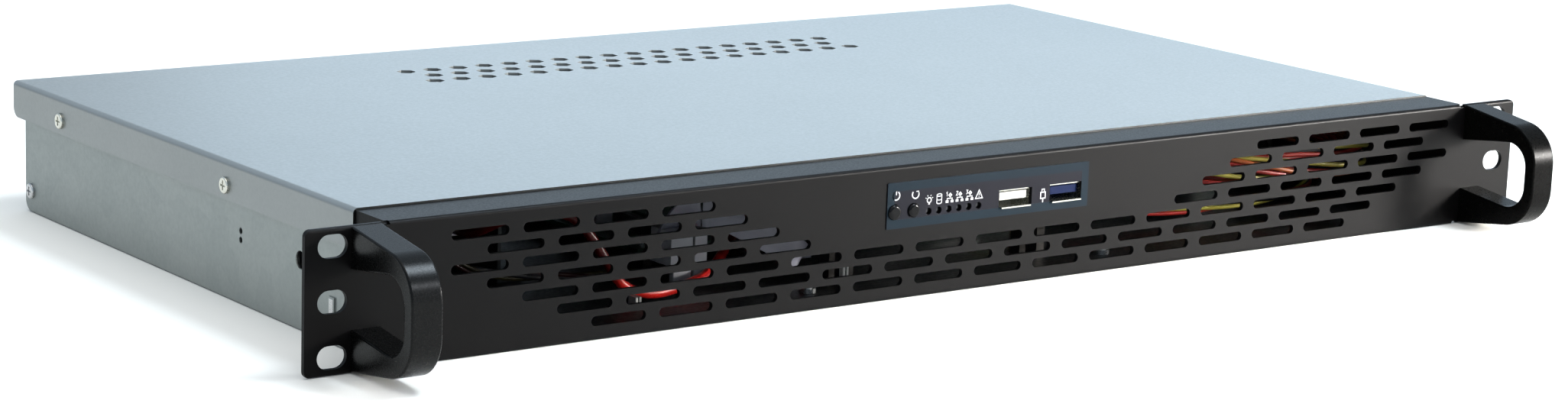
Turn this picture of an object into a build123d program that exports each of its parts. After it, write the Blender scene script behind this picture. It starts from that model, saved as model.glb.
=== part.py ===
from build123d import *
import os
from math import cos, pi, sin, tan

# Short-depth 1U rack firewall appliance, in millimetres.
# +X runs to the right seen from the front, +Y to the back, +Z up.
# The origin is the centre of the underside: mid-width, mid-depth of the body, on the floor.
# "Depth" below always means the distance behind the front panel's outer face.

# ---------------------------------------------------------------- driving dimensions
BODY_DEPTH = 247.0          # front face of the panel to the rear edge of the cover
PANEL_WIDTH = 482.6         # 19 inch rack panel, over the ears
PANEL_HEIGHT = 42.5         # the cover stands half a millimetre proud of the bezel
RACK_HOLE_X = 232.55        # half of the 465.1 mm rack hole spacing
RACK_HOLE_PITCH = 15.875    # EIA vertical hole pitch
BEZEL_HALF = 215.6
BEZEL_RETURN = 17.5         # depth of the bezel's folded edges
BEZEL_T = 1.5
SHEET_T = 1.2               # tray and rear panel
COVER_T = 1.0
COVER_HALF = 216.2
COVER_TOP = 43.0            # one rack unit less its clearance
COVER_FLANGE_LOW = 31.0     # lower edge of the cover's side flanges
TRAY_HALF = 215.1
TRAY_DEPTH = 240.9          # rear edge of the tray's walls
WALL_TOP = 41.2
CLEAR = 0.1                 # gap round screws and between stacked pieces

FACE_Y = -BODY_DEPTH / 2
EAR_LOW = 0.2
EAR_HIGH = 42.4
EAR_MID = (EAR_LOW + EAR_HIGH) / 2
EAR_HALF = PANEL_WIDTH / 2

# rack slots in the ears
RACK_SLOT_LONG = 9.4
RACK_SLOT_HIGH = 6.8

# ventilation slots in the panel: each row runs between two distances from the
# pattern's centre, in slot pitches, and is mirrored to the other side
SLOT_CENTRE_X = 7.15
SLOT_PITCH = 24.0
SLOT_LONG = 19.2
SLOT_HIGH = 3.0
SLOT_ROW_PITCH = 5.08
SLOT_MID_Z = 21.1
SLOT_ROWS = [(5, 8), (4.5, 7.5), (4, 8), (3.5, 7.5), (0, 7), (0.5, 6.5), (0, 6)]

# control panel
LABEL_X = (-38.6, 43.2)
LABEL_Z = (22.7, 37.4)
LABEL_T = 0.3
PANEL_ROW_Z = 28.0          # centre line of the ports and buttons
POWER_X = -35.75
RESET_X = -28.15
POWER_R = 2.45
RESET_R = 2.2
BUTTON_TRAVEL = 0.8
BUTTON_FIT = 0.08
LED_X = -22.1
LED_PITCH = 4.0
LED_Z = 27.1
LED_COUNT = 6
USB_X = (12.9, 33.9)
USB_WIDE = 13.1
USB_HIGH = 5.7
USB_DEEP = 14.0

# handles
HANDLE_IN = 216.8
HANDLE_OUT = 226.7
HANDLE_REACH = 33.5
HANDLE_FOOT = 20.9          # half height at the ear
HANDLE_TIP = 16.1           # half height the tapering legs would have at the front
HANDLE_BEND = 13.5          # outer radius between leg and grip
GAP_REACH = 29.1            # front of the finger gap
GAP_FOOT = 8.5
GAP_TIP = 12.4
GAP_BEND = 8.0
HANDLE_SCREW_Z = 14.9       # handle screws above and below the ear's middle

# screws in the sides
COVER_SCREW_DEPTHS = (95.2, 210.6)
COVER_SCREW_Z = 35.4
WALL_SCREW_DEPTH = 235.7
WALL_SCREW_Z = 7.4
REAR_FOOT_X = 100.0         # feet of the rear panel, screwed to the floor
LUG_DEPTH = (29.4, 32.8)    # small pressed lug low on each side wall, behind the ear
LUG_Z = (6.5, 14.3)

# cover vents: three staggered rows of hexagonal holes
VENT_PITCH = 10.45
VENT_ROW_PITCH = 9.75
VENT_MID_DEPTH = 198.2
VENT_R = 3.4
VENT_COUNTS = (18, 17, 18)

# electronics
BOARD_HALF = 85.0           # mini-ITX board, 170 mm square
BOARD_FRONT = 67.5
BOARD_Z = 6.2               # underside of the board
PCB_T = 1.6
PSU_X = (129.0, 210.5)
PSU_DEPTH = (88.0, 239.5)
PSU_Z = (1.3, 41.3)
PSU_T = 0.9
FAN_SIZE = 40.0
FAN_DEEP = 20.0
FAN_X = (-186.0, -138.0)
FAN_Z = 21.3
PSU_FAN_SIZE = 38.0
PSU_FAN_X = 151.0
REAR_T = 1.2
IO_X = (-79.4, 79.4)
IO_Z = (4.0, 38.5)
FRONT_BOARD_X = (-41.5, 46.0)
FRONT_BOARD_DEPTH = (5.2, 35.0)
FRONT_BOARD_TOP = PANEL_ROW_Z - USB_HIGH / 2
SSD_X = (-204.9, -135.1)
SSD_DEPTH = (66.0, 166.0)
SSD_Z = (21.3, 28.3)


# ---------------------------------------------------------------- helpers
def deep(depth):
    """Y of a point this far behind the panel's face."""
    return FACE_Y + depth


def block(x, depth, z):
    """Box between two X values, two depths and two heights."""
    size = (x[1] - x[0], depth[1] - depth[0], z[1] - z[0])
    middle = ((x[0] + x[1]) / 2, deep((depth[0] + depth[1]) / 2), (z[0] + z[1]) / 2)
    return Pos(*middle) * Box(*size)


def rod_x(radius, x, depth, z):
    """Cylinder along X between two X values."""
    return Pos((x[0] + x[1]) / 2, deep(depth), z) * Rot(0, 90, 0) * Cylinder(radius, x[1] - x[0])


def rod_y(radius, x, depth, z):
    """Cylinder along Y between two depths."""
    middle = deep((depth[0] + depth[1]) / 2)
    return Pos(x, middle, z) * Rot(90, 0, 0) * Cylinder(radius, depth[1] - depth[0])


def rod_z(radius, x, depth, z):
    """Cylinder along Z between two heights."""
    return Pos(x, deep(depth), (z[0] + z[1]) / 2) * Cylinder(radius, z[1] - z[0])


def plate_y(sketch, depth):
    """Extrude an X-Z sketch between two depths."""
    plane = Plane(origin=(0, deep(depth[0]), 0), x_dir=(1, 0, 0), z_dir=(0, -1, 0))
    return extrude(plane * sketch, amount=depth[1] - depth[0], dir=(0, 1, 0))


def plate_z(sketch, z):
    """Extrude an X-Y sketch between two heights."""
    return extrude(Pos(0, 0, z[0]) * sketch, amount=z[1] - z[0], dir=(0, 0, 1))


def mirrored(solid):
    """The same piece on the other side of the middle plane."""
    return mirror(solid, about=Plane.YZ)


def screw(head_r, head_h, shank_r, length):
    """Pan-head cross-recess screw, head up, seat at the origin, shank down -Z."""
    head = Pos(0, 0, head_h / 2) * Cylinder(head_r, head_h)
    head = fillet(head.edges().sort_by(Axis.Z)[-1], head_h * 0.45)
    body = head + Pos(0, 0, -length / 2) * Cylinder(shank_r, length)
    for turn in (0, 90):
        body -= Pos(0, 0, head_h) * Rot(0, 0, turn) * Box(head_r * 1.15, head_r * 0.24, head_h)
    return body


def ring_of(count, radius, start=0.0):
    """Points spaced evenly round a circle."""
    angles = [start + 2 * pi * k / count for k in range(count)]
    return [(radius * cos(a), radius * sin(a)) for a in angles]


def save(name, *pieces):
    """Write one node, as a single solid or a group of separate solids."""
    solids = []
    for piece in pieces:
        solids.extend(piece.solids())
    whole = solids[0] if len(solids) == 1 else Compound(children=solids)
    export_step(whole, f"parts/{name}.step")


# ---------------------------------------------------------------- shell
def slot_places():
    """Centres of all ventilation slots, as (x, z)."""
    places = []
    for row, (inner, outer) in enumerate(SLOT_ROWS):
        z = SLOT_MID_Z + (3 - row) * SLOT_ROW_PITCH
        step = inner
        while step <= outer:
            places.append((SLOT_CENTRE_X + step * SLOT_PITCH, z))
            if step:
                places.append((SLOT_CENTRE_X - step * SLOT_PITCH, z))
            step += 1
    return places


def led_places():
    """X of each status light."""
    return [LED_X + LED_PITCH * k for k in range(LED_COUNT)]


def front_bezel():
    """Panel with coplanar rack ears and four returns folded back."""
    middle = Pos(0, PANEL_HEIGHT / 2) * Rectangle(2 * BEZEL_HALF, PANEL_HEIGHT)
    ears = Pos(0, EAR_MID) * RectangleRounded(PANEL_WIDTH, EAR_HIGH - EAR_LOW, 2.0)
    face = middle + ears
    holes = [Pos(x, z) * SlotOverall(SLOT_LONG, SLOT_HIGH) for x, z in slot_places()]
    for side in (-1, 1):
        for step in (-1, 0, 1):
            rack = Pos(side * RACK_HOLE_X, EAR_MID + step * RACK_HOLE_PITCH)
            holes.append(rack * SlotOverall(RACK_SLOT_LONG, RACK_SLOT_HIGH))
        for end in (-1, 1):
            foot = Pos(side * (HANDLE_IN + HANDLE_OUT) / 2, EAR_MID + end * HANDLE_SCREW_Z)
            holes.append(foot * Circle(2.2))
    holes.append(Pos(POWER_X, PANEL_ROW_Z) * Circle(POWER_R + BUTTON_FIT))
    holes.append(Pos(RESET_X, PANEL_ROW_Z) * Circle(RESET_R + BUTTON_FIT))
    holes += [Pos(x, LED_Z) * Circle(1.15) for x in led_places()]
    holes += [Pos(x, PANEL_ROW_Z) * Rectangle(USB_WIDE + 0.5, USB_HIGH + 0.5) for x in USB_X]
    bezel = plate_y(face - holes, (0, BEZEL_T))
    shell = block((-BEZEL_HALF, BEZEL_HALF), (0, BEZEL_RETURN), (0, PANEL_HEIGHT))
    shell -= block((-BEZEL_HALF + BEZEL_T, BEZEL_HALF - BEZEL_T), (-1, BEZEL_RETURN + 1),
                   (BEZEL_T, PANEL_HEIGHT - BEZEL_T))
    bezel += shell - block((-BEZEL_HALF, BEZEL_HALF), (-1, BEZEL_T), (0, PANEL_HEIGHT))
    front_edges = bezel.edges().filter_by(Axis.X).group_by(Axis.Y)[0]
    bends = [e for e in front_edges if e.length > 400]
    bezel = fillet(bends, 1.2)
    for side in (-1, 1):
        for z in (0, PANEL_HEIGHT):
            bezel -= rod_x(1.1, (side * BEZEL_HALF - 1.2, side * BEZEL_HALF + 1.2), 0.6, z)
    for x in (-180, -60, 60, 180):
        bezel -= rod_z(1.7, x, 10.5, (-1, 3))
    return bezel


def control_label():
    """Printed overlay film round the ports and buttons."""
    width = LABEL_X[1] - LABEL_X[0]
    height = LABEL_Z[1] - LABEL_Z[0]
    film = Pos(sum(LABEL_X) / 2, sum(LABEL_Z) / 2) * RectangleRounded(width, height, 0.8)
    film -= Pos(POWER_X, PANEL_ROW_Z) * Circle(POWER_R + 0.2)
    film -= Pos(RESET_X, PANEL_ROW_Z) * Circle(RESET_R + 0.2)
    for x in led_places():
        film -= Pos(x, LED_Z) * Circle(1.15)
    for x in USB_X:
        film -= Pos(x, PANEL_ROW_Z) * Rectangle(USB_WIDE + 0.5, USB_HIGH + 0.5)
    return plate_y(film, (-LABEL_T, 0))


def tapered(start, foot, reach, tip, bend):
    """Profile with straight sides that slant, and two rounded corners at its front."""
    shape = make_face(Polyline((start, -foot), (-reach, -tip), (-reach, tip), (start, foot), close=True))
    return fillet(shape.vertices().group_by(Axis.X)[0], bend)


def handle():
    """D-shaped pull handle on the left ear, with two tapped feet."""
    outline = tapered(0, HANDLE_FOOT, HANDLE_REACH, HANDLE_TIP, HANDLE_BEND)
    gap = tapered(1, GAP_FOOT, GAP_REACH, GAP_TIP, GAP_BEND)
    side = Plane(origin=(-HANDLE_OUT, deep(0), EAR_MID), x_dir=(0, 1, 0), z_dir=(1, 0, 0))
    grip = extrude(side * (outline - gap), amount=HANDLE_OUT - HANDLE_IN, dir=(1, 0, 0))
    long_edges = grip.faces().sort_by(Axis.X)[0].edges() + grip.faces().sort_by(Axis.X)[-1].edges()
    soft = [e for e in long_edges if e.center().Y < deep(-0.5)]
    grip = fillet(soft, 0.6)
    x = -(HANDLE_IN + HANDLE_OUT) / 2
    for end in (-1, 1):
        grip -= rod_y(2.0 + CLEAR, x, (-9, 1), EAR_MID + end * HANDLE_SCREW_Z)
    return grip


def handle_screws():
    """Four M4 screws from behind the ears into the handles' feet."""
    m4 = screw(3.6, 2.4, 2.0, 9.5)
    found = []
    for side in (-1, 1):
        for end in (-1, 1):
            x = side * (HANDLE_IN + HANDLE_OUT) / 2
            z = EAR_MID + end * HANDLE_SCREW_Z
            found.append(Pos(x, deep(BEZEL_T), z) * Rot(-90, 0, 0) * m4)
    return found


def chassis_tray():
    """Floor and two side walls in one folded sheet, with joggled front tabs."""
    front = BEZEL_RETURN + 0.2
    tray = block((-TRAY_HALF, TRAY_HALF), (front, TRAY_DEPTH), (0, SHEET_T))
    middle = (deep(front) + deep(TRAY_DEPTH)) / 2
    wall_sketch = Pos(middle, WALL_TOP / 2) * Rectangle(TRAY_DEPTH - front, WALL_TOP)
    rear_low = wall_sketch.vertices().sort_by(Axis.X)[-2:].sort_by(Axis.Y)[0]
    wall_sketch = fillet(rear_low, 4.0)
    side = Plane(origin=(-TRAY_HALF, 0, 0), x_dir=(0, 1, 0), z_dir=(1, 0, 0))
    wall = extrude(side * wall_sketch, amount=SHEET_T, dir=(1, 0, 0))
    joggle = block((-TRAY_HALF, -212.8), (front, front + 2), (1.5, WALL_TOP))
    joggle += block((-214.0, -212.8), (2.5, front + 2), (3.2, 39.8))
    tray = tray - block((-TRAY_HALF - 1, TRAY_HALF + 1), (TRAY_DEPTH - 4, TRAY_DEPTH + 1), (-1, 2))
    tray += wall + mirrored(wall) + joggle + mirrored(joggle)
    tray += block((-210, 210), (front, front + 1.4), (0, 3.0))
    tray += block((-210, 210), (2.5, front + 1.4), (1.8, 3.0))
    low_edges = [e for e in tray.edges().filter_by(Axis.Y)
                 if e.length > 150 and e.center().Z < 0.01 and abs(e.center().X) > 215]
    tray = fillet(low_edges, 1.0)
    lug = block((-TRAY_HALF - 0.5, -TRAY_HALF + 0.2), LUG_DEPTH, LUG_Z)
    tray += lug + mirrored(lug)
    for side_x in (-1, 1):
        wall_x = (side_x * 214.5 - 1.5, side_x * 214.5 + 1.5)
        for depth in COVER_SCREW_DEPTHS:
            tray -= rod_x(1.5 + CLEAR, wall_x, depth, COVER_SCREW_Z)
        tray -= rod_x(1.5 + CLEAR, wall_x, WALL_SCREW_DEPTH, WALL_SCREW_Z)
        tray -= rod_x(2.75, wall_x, 50.4, 21.3)
        tray -= rod_x(1.0, wall_x, 87.4, 22.75)
        tray -= rod_x(1.0, wall_x, 87.4, 19.95)
        tray -= rod_z(1.5 + CLEAR, side_x * REAR_FOOT_X, 232.0, (-1, 3))
    for x in (-180, -60, 60, 180):
        tray -= rod_z(1.5 + CLEAR, x, 10.5, (1, 4))
    return tray


def top_cover():
    """Lid with two side flanges, screw holes and vents near the rear."""
    front = BEZEL_RETURN + 0.2
    lid = block((-COVER_HALF, COVER_HALF), (front, BODY_DEPTH), (COVER_FLANGE_LOW, COVER_TOP))
    lid = fillet(lid.edges().filter_by(Axis.Y).group_by(Axis.Z)[-1], 1.6)
    inner = COVER_HALF - COVER_T
    core = block((-inner, inner), (front - 1, BODY_DEPTH + 1), (COVER_FLANGE_LOW - 1, COVER_TOP - COVER_T))
    core = fillet(core.edges().filter_by(Axis.Y).group_by(Axis.Z)[-1], 0.6)
    lid -= core
    rear_low = [e for e in lid.edges().filter_by(Axis.X) if e.center().Z < COVER_FLANGE_LOW + 0.01]
    rear_low = [e for e in rear_low if e.center().Y > deep(BODY_DEPTH) - 0.01]
    lid = fillet(rear_low, 3.5)
    vents = []
    for row, count in enumerate(VENT_COUNTS):
        depth = VENT_MID_DEPTH + (row - 1) * VENT_ROW_PITCH
        for k in range(count):
            x = 0.5 + (k - (count - 1) / 2) * VENT_PITCH
            vents.append(Pos(x, deep(depth)) * RegularPolygon(VENT_R, 6, rotation=30))
    lid -= plate_z(Sketch() + vents, (COVER_TOP - 2, COVER_TOP + 1))
    for side in (-1, 1):
        for depth in COVER_SCREW_DEPTHS:
            wall_x = (side * COVER_HALF - 2, side * COVER_HALF + 2)
            lid -= rod_x(1.7, wall_x, depth, COVER_SCREW_Z)
    return lid


def side_screws(depths, z, seat):
    """Small screws driven into both side walls."""
    small = screw(2.6, 1.0, 1.5, 4.0)
    found = []
    for side in (-1, 1):
        for depth in depths:
            found.append(Pos(side * seat, deep(depth), z) * Rot(0, side * 90, 0) * small)
    return found


def bezel_screws():
    """Low-head screws through the bezel's lower return into the tray's lip."""
    found = []
    for x in (-180, -60, 60, 180):
        shank = rod_z(1.5, x, 10.5, (0.1, 5.0))
        found.append(shank + rod_z(2.6, x, 10.5, (3.1, 4.6)))
    return found


def rear_panel():
    """Rear wall with openings for the ports, fans and power supply."""
    plate = Pos(0, 21.4) * Rectangle(2 * 213.7, 40.0)
    plate -= Pos(sum(IO_X) / 2, sum(IO_Z) / 2) * Rectangle(IO_X[1] - IO_X[0], IO_Z[1] - IO_Z[0])
    plate -= Pos(sum(PSU_X) / 2, 21.3) * Rectangle(76.0, 36.0)
    for x in FAN_X:
        plate -= Pos(x, FAN_Z) * Circle(18.6)
        plate += Pos(x, FAN_Z) * (Circle(14.2) - Circle(12.6))
        plate += Pos(x, FAN_Z) * (Circle(8.2) - Circle(6.4))
        for turn in (45, 135):
            plate += Pos(x, FAN_Z) * Rot(0, 0, turn) * Rectangle(38.0, 1.6)
        for dx, dz in ring_of(4, 16 * 2 ** 0.5, pi / 4):
            plate -= Pos(x + dx, FAN_Z + dz) * Circle(1.7)
    # narrow louvre slots between the ports and the power supply
    for k in range(4):
        plate -= Pos(92 + 9 * k, 21.3) * Rot(0, 0, 90) * SlotOverall(26, 3.2)
    panel = plate_y(plate, (TRAY_DEPTH - REAR_T, TRAY_DEPTH))
    tab = block((-213.7, -212.5), (228.0, TRAY_DEPTH), (2.0, 30.0))
    tab -= rod_x(1.5 + CLEAR, (-215, -211), WALL_SCREW_DEPTH, WALL_SCREW_Z)
    foot_x = (-REAR_FOOT_X - 8, -REAR_FOOT_X + 8)
    foot = block(foot_x, (226.0, TRAY_DEPTH), (SHEET_T + 0.05, SHEET_T + REAR_T))
    foot -= rod_z(1.5 + CLEAR, -REAR_FOOT_X, 232.0, (0, 4))
    return panel + tab + mirrored(tab) + foot + mirrored(foot)


def floor_screws():
    """Two screws through the floor into the rear panel's feet."""
    found = []
    for x in (-REAR_FOOT_X, REAR_FOOT_X):
        found.append(rod_z(1.5, x, 232.0, (0.1, 4.0)) + rod_z(2.5, x, 232.0, (SHEET_T + REAR_T + 0.1, 4.0)))
    return found


# ---------------------------------------------------------------- front controls
def push_button(x, radius):
    """Button cap with a retaining collar and a stem to its switch."""
    cap = rod_y(radius, x, (-1.2, 3.0), PANEL_ROW_Z)
    cap = fillet(cap.edges().sort_by(Axis.Y)[0], 0.9)
    collar = rod_y(radius + 0.8, x, (1.8, 2.8), PANEL_ROW_Z)
    return cap + collar + rod_y(1.1, x, (2.8, 5.4), PANEL_ROW_Z)


def tact_switches():
    """Right-angle tactile switches behind the two buttons."""
    found = []
    for x in (POWER_X, RESET_X):
        body = block((x - 3.1, x + 3.1), (7.2, 11.0), (FRONT_BOARD_TOP, FRONT_BOARD_TOP + 6.0))
        found.append(body + rod_y(1.4, x, (6.4, 7.2), PANEL_ROW_Z))
    return found


def status_leds():
    """Six right-angle indicator lights with small lenses."""
    found = []
    for x in led_places():
        base = block((x - 1.6, x + 1.6), (6.0, 10.5), (FRONT_BOARD_TOP, FRONT_BOARD_TOP + 4.0))
        lens = rod_y(0.95, x, (0.8, 6.0), LED_Z)
        found.append(base + fillet(lens.edges().sort_by(Axis.Y)[0], 0.5))
    return found


def usb_shell(x):
    """Folded steel shell of a USB-A socket, its lower wall drawn out into a short lip."""
    outer = Pos(x, PANEL_ROW_Z) * RectangleRounded(USB_WIDE, USB_HIGH, 0.5)
    inner = Pos(x, PANEL_ROW_Z) * Rectangle(USB_WIDE - 0.6, USB_HIGH - 0.6)
    shell = plate_y(outer, (0.7, USB_DEEP)) - plate_y(inner, (-1, USB_DEEP - 0.4))
    low = PANEL_ROW_Z - USB_HIGH / 2
    return shell + block((x - 6.0, x + 6.0), (-1.0, 2.0), (low, low + 0.45))


def usb_tongue(x):
    """Insulator block with the contact tongue."""
    low = PANEL_ROW_Z - USB_HIGH / 2 + 0.3
    high = PANEL_ROW_Z + USB_HIGH / 2 - 0.3
    back = block((x - 6.2, x + 6.2), (9.4, USB_DEEP - 0.4), (low, high))
    return back + block((x - 5.55, x + 5.55), (1.0, 9.4), (high - 3.0, high - 0.5))


def front_io_board():
    """Board that carries the ports, lights and switches."""
    board = block(FRONT_BOARD_X, FRONT_BOARD_DEPTH, (FRONT_BOARD_TOP - PCB_T, FRONT_BOARD_TOP))
    for x, depth in front_posts():
        board -= rod_z(1.6, x, depth, (0, 40))
    return board


def front_posts():
    """Places of the front board's standoffs, as (x, depth)."""
    return [(x, depth) for x in (-37.0, 41.5) for depth in (22.5, 31.0)]


def standoffs(places, top):
    """Hexagonal spacers on the floor, bored for the screw above."""
    found = []
    for x, depth in places:
        post = plate_z(Pos(x, deep(depth)) * RegularPolygon(3.2, 6), (SHEET_T, top))
        found.append(post - rod_z(1.6, x, depth, (top - 3.8, top + 1)))
    return found


def board_screws(places, top):
    """Pan-head screws that hold a board on its spacers."""
    small = screw(2.8, 1.8, 1.5, 5.0)
    return [Pos(x, deep(depth), top) * small for x, depth in places]


# ---------------------------------------------------------------- main board
def board_posts():
    """Mini-ITX hole places, as (x, depth)."""
    return [(x, depth) for x in (-78.7, 78.7) for depth in (BOARD_FRONT + 6.4, 227.0)]


def motherboard():
    """Square main board with its four fixing holes."""
    board = block((-BOARD_HALF, BOARD_HALF), (BOARD_FRONT, BOARD_FRONT + 170), (BOARD_Z, BOARD_TOP))
    for x, depth in board_posts():
        board -= rod_z(1.6, x, depth, (0, 40))
    return board


BOARD_TOP = BOARD_Z + PCB_T
CPU_X = -4.0
CPU_DEPTH = 150.0
SINK_HALF = 34.0


def cpu_package():
    """Processor package under the heat sink."""
    return block((CPU_X - 17, CPU_X + 17), (CPU_DEPTH - 17, CPU_DEPTH + 17), (BOARD_TOP, BOARD_TOP + 2.2))


def cpu_heatsink():
    """Low finned block, its fins running front to back."""
    low = BOARD_TOP + 2.2
    x = (CPU_X - SINK_HALF, CPU_X + SINK_HALF)
    depth = (CPU_DEPTH - SINK_HALF, CPU_DEPTH + SINK_HALF)
    sink = block(x, depth, (low, low + 4.0))
    count = 24
    pitch = (2 * SINK_HALF - 0.9) / (count - 1)
    for k in range(count):
        left = x[0] + k * pitch
        sink += block((left, left + 0.9), depth, (low + 4.0, 36.0))
    for px, pd in sink_posts():
        sink -= block((px - 3.6, px + 3.6), (pd - 3.6, pd + 3.6), (low + 4.0, 40))
        sink -= rod_z(1.7, px, pd, (0, 40))
    return sink


def sink_posts():
    """Places of the four heat sink screws."""
    reach = SINK_HALF - 4.2
    return [(CPU_X + a * reach, CPU_DEPTH + b * reach) for a in (-1, 1) for b in (-1, 1)]


def chipset_heatsink():
    """Small square heat sink with pin fins."""
    x0, d0 = 37.0, 96.0
    sink = block((x0, x0 + 28), (d0, d0 + 28), (BOARD_TOP, BOARD_TOP + 3))
    for i in range(5):
        for k in range(5):
            left = x0 + 0.6 + i * 5.7
            front = d0 + 0.6 + k * 5.7
            sink += block((left, left + 3.2), (front, front + 3.2), (BOARD_TOP + 3, BOARD_TOP + 14))
    return sink


MEMORY_X = (-68.5, -0.5)
MEMORY_DEPTH = 75.0


def memory_socket():
    """Low socket that grips the memory module's front edge."""
    x0, x1 = MEMORY_X
    body = block((x0 - 1, x1 + 1), (MEMORY_DEPTH, MEMORY_DEPTH + 6), (BOARD_TOP, BOARD_TOP + 5.2))
    for left in (x0 - 2.6, x1 + 0.4):
        body += block((left, left + 2.2), (MEMORY_DEPTH, MEMORY_DEPTH + 28), (BOARD_TOP, BOARD_TOP + 4.8))
    body -= block((x0, x1), (MEMORY_DEPTH + 2.5, MEMORY_DEPTH + 7), (BOARD_TOP + 2.2, BOARD_TOP + 3.7))
    return body


def memory_module():
    """Small memory card with its chips, flat above the board."""
    x0, x1 = MEMORY_X
    z = BOARD_TOP + 2.4
    card = block((x0 + 0.2, x1 - 0.2), (MEMORY_DEPTH + 2.7, MEMORY_DEPTH + 32), (z, z + 1.1))
    for k in range(4):
        left = x0 + 4 + k * 15.6
        card += block((left, left + 12), (MEMORY_DEPTH + 13, MEMORY_DEPTH + 27), (z + 1.1, z + 2.1))
    return card


def capacitors():
    """Cylindrical capacitors beside the processor and the power socket."""
    places = [(-62, 128), (-62, 140), (-62, 152), (-62, 164), (-50, 196), (-38, 196), (40, 196), (52, 196)]
    return [rod_z(4.0, x, depth, (BOARD_TOP, BOARD_TOP + 11.5)) for x, depth in places]


def chokes():
    """Square power inductors in a row beside the processor."""
    found = []
    for k in range(4):
        front = 126 + 13 * k
        found.append(block((-52, -42), (front, front + 10), (BOARD_TOP, BOARD_TOP + 6.5)))
    return found


def backup_battery():
    """Coin cell lying in its holder."""
    return rod_z(10.0, 62.0, 170.0, (BOARD_TOP + 1.2, BOARD_TOP + 4.4))


def battery_holder():
    """Round holder under the coin cell, with one raised lip."""
    holder = rod_z(11.5, 62.0, 170.0, (BOARD_TOP, BOARD_TOP + 3.6))
    return holder - rod_z(10.1, 62.0, 170.0, (BOARD_TOP + 1.2, BOARD_TOP + 6))


ATX_X = (70.5, 80.0)
ATX_DEPTH = (92.0, 144.0)
ATX_SPLIT = BOARD_TOP + 9.5


SATA_X = (-80.0, -74.0)
SATA_DEPTH = 112.0


# ---------------------------------------------------------------- rear ports
PORT_DEPTH = (216.0, 241.3)
LAN_X = (-4.3, 13.0, 30.3)
LAN_W, LAN_H = 16.2, 13.6
STACK_X = (-36.2, -20.8)
STACK_W, STACK_H = 14.4, 15.8
SERIAL_X = -59.8
VGA_X = 55.6
DSUB_W, DSUB_H = 30.8, 12.5


def lan_jacks():
    """Three shielded network sockets, open to the rear."""
    found = []
    for x in LAN_X:
        z0 = BOARD_TOP
        can = block((x - LAN_W / 2, x + LAN_W / 2), PORT_DEPTH, (z0, z0 + LAN_H))
        can -= block((x - 5.9, x + 5.9), (226.0, 245), (z0 + 2.4, z0 + 10.2))
        can -= block((x - 3.1, x + 3.1), (226.0, 245), (z0 + 1.0, z0 + 2.5))
        found.append(can)
    return found


def rear_usb_stacks():
    """Two stacked pairs of USB sockets."""
    found = []
    for x in STACK_X:
        z0 = BOARD_TOP
        can = block((x - STACK_W / 2, x + STACK_W / 2), PORT_DEPTH, (z0, z0 + STACK_H))
        for low in (1.2, 9.0):
            gap = block((x - 6.25, x + 6.25), (230.0, 245), (z0 + low, z0 + low + 5.1))
            gap -= block((x - 5.5, x + 5.5), (229.0, 240.3), (z0 + low + 2.9, z0 + low + 4.5))
            can -= gap
        found.append(can)
    return found


def dsub_port(x, rows, pins):
    """D-shaped connector: metal flange, shell and insulator."""
    z0 = BOARD_TOP
    port = block((x - DSUB_W / 2, x + DSUB_W / 2), (219.0, 238.6), (z0, z0 + DSUB_H))
    mid = z0 + DSUB_H / 2
    shape = Trapezoid(17.6, 8.4, 80, rotation=180)
    hole = Trapezoid(16.6, 7.4, 80, rotation=180)
    port += plate_y(Pos(x, mid) * shape, (238.6, 243.6)) - plate_y(Pos(x, mid) * hole, (239.5, 245))
    for row in range(rows):
        count = pins - (row % 2 if rows == 2 else 0)
        for k in range(count):
            px = x + (k - (count - 1) / 2) * 2.7
            pz = mid + ((rows - 1) / 2 - row) * 2.5
            port += rod_y(0.5, px, (239.0, 243.0), pz)
    for side in (-1, 1):
        nut = Pos(x + side * 12.5, mid) * RegularPolygon(2.6, 6)
        port += plate_y(nut, (238.6, 243.0))
    return port


def io_shield():
    """Thin pressed plate that closes the gap round the rear ports."""
    gap = 0.25
    plate = Pos(sum(IO_X) / 2, 21.3) * Rectangle(IO_X[1] - IO_X[0] + 3, 37.8)
    z0 = BOARD_TOP
    for x in LAN_X:
        plate -= Pos(x, z0 + LAN_H / 2) * Rectangle(LAN_W + 2 * gap, LAN_H + 2 * gap)
    for x in STACK_X:
        plate -= Pos(x, z0 + STACK_H / 2) * Rectangle(STACK_W + 2 * gap, STACK_H + 2 * gap)
    for x in (SERIAL_X, VGA_X):
        plate -= Pos(x, z0 + DSUB_H / 2) * Rectangle(DSUB_W + 2 * gap, DSUB_H + 2 * gap)
    for k in range(24):
        for row in range(2):
            place = Pos(-69 + 6 * k, 28.4 + 5.2 * row)
            plate -= place * Circle(1.7)
    return plate_y(plate, (TRAY_DEPTH - REAR_T - 0.7, TRAY_DEPTH - REAR_T - 0.1))


# ---------------------------------------------------------------- fans
def fan_frame(x, z, size, depth, bore):
    """Square fan housing with struts that carry the motor base."""
    half = size / 2
    ring = Pos(x, z) * (RectangleRounded(size, size, 3.0) - Circle(bore))
    for dx, dz in ring_of(4, (half - 4) * 2 ** 0.5, pi / 4):
        ring -= Pos(x + dx, z + dz) * Circle(1.7)
    frame = plate_y(ring, depth)
    base = Pos(x, z) * (Circle(half * 0.52) - Circle(1.08))
    for turn in (30, 150, 270):
        arm = Pos(x, z) * Rot(0, 0, turn) * Pos(half * 0.72, 0) * Rectangle(half * 0.6, 2.2)
        base += arm
    base = base & (Pos(x, z) * Circle(bore + 0.4))
    return frame + plate_y(base, (depth[1] - 3.2, depth[1]))


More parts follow.
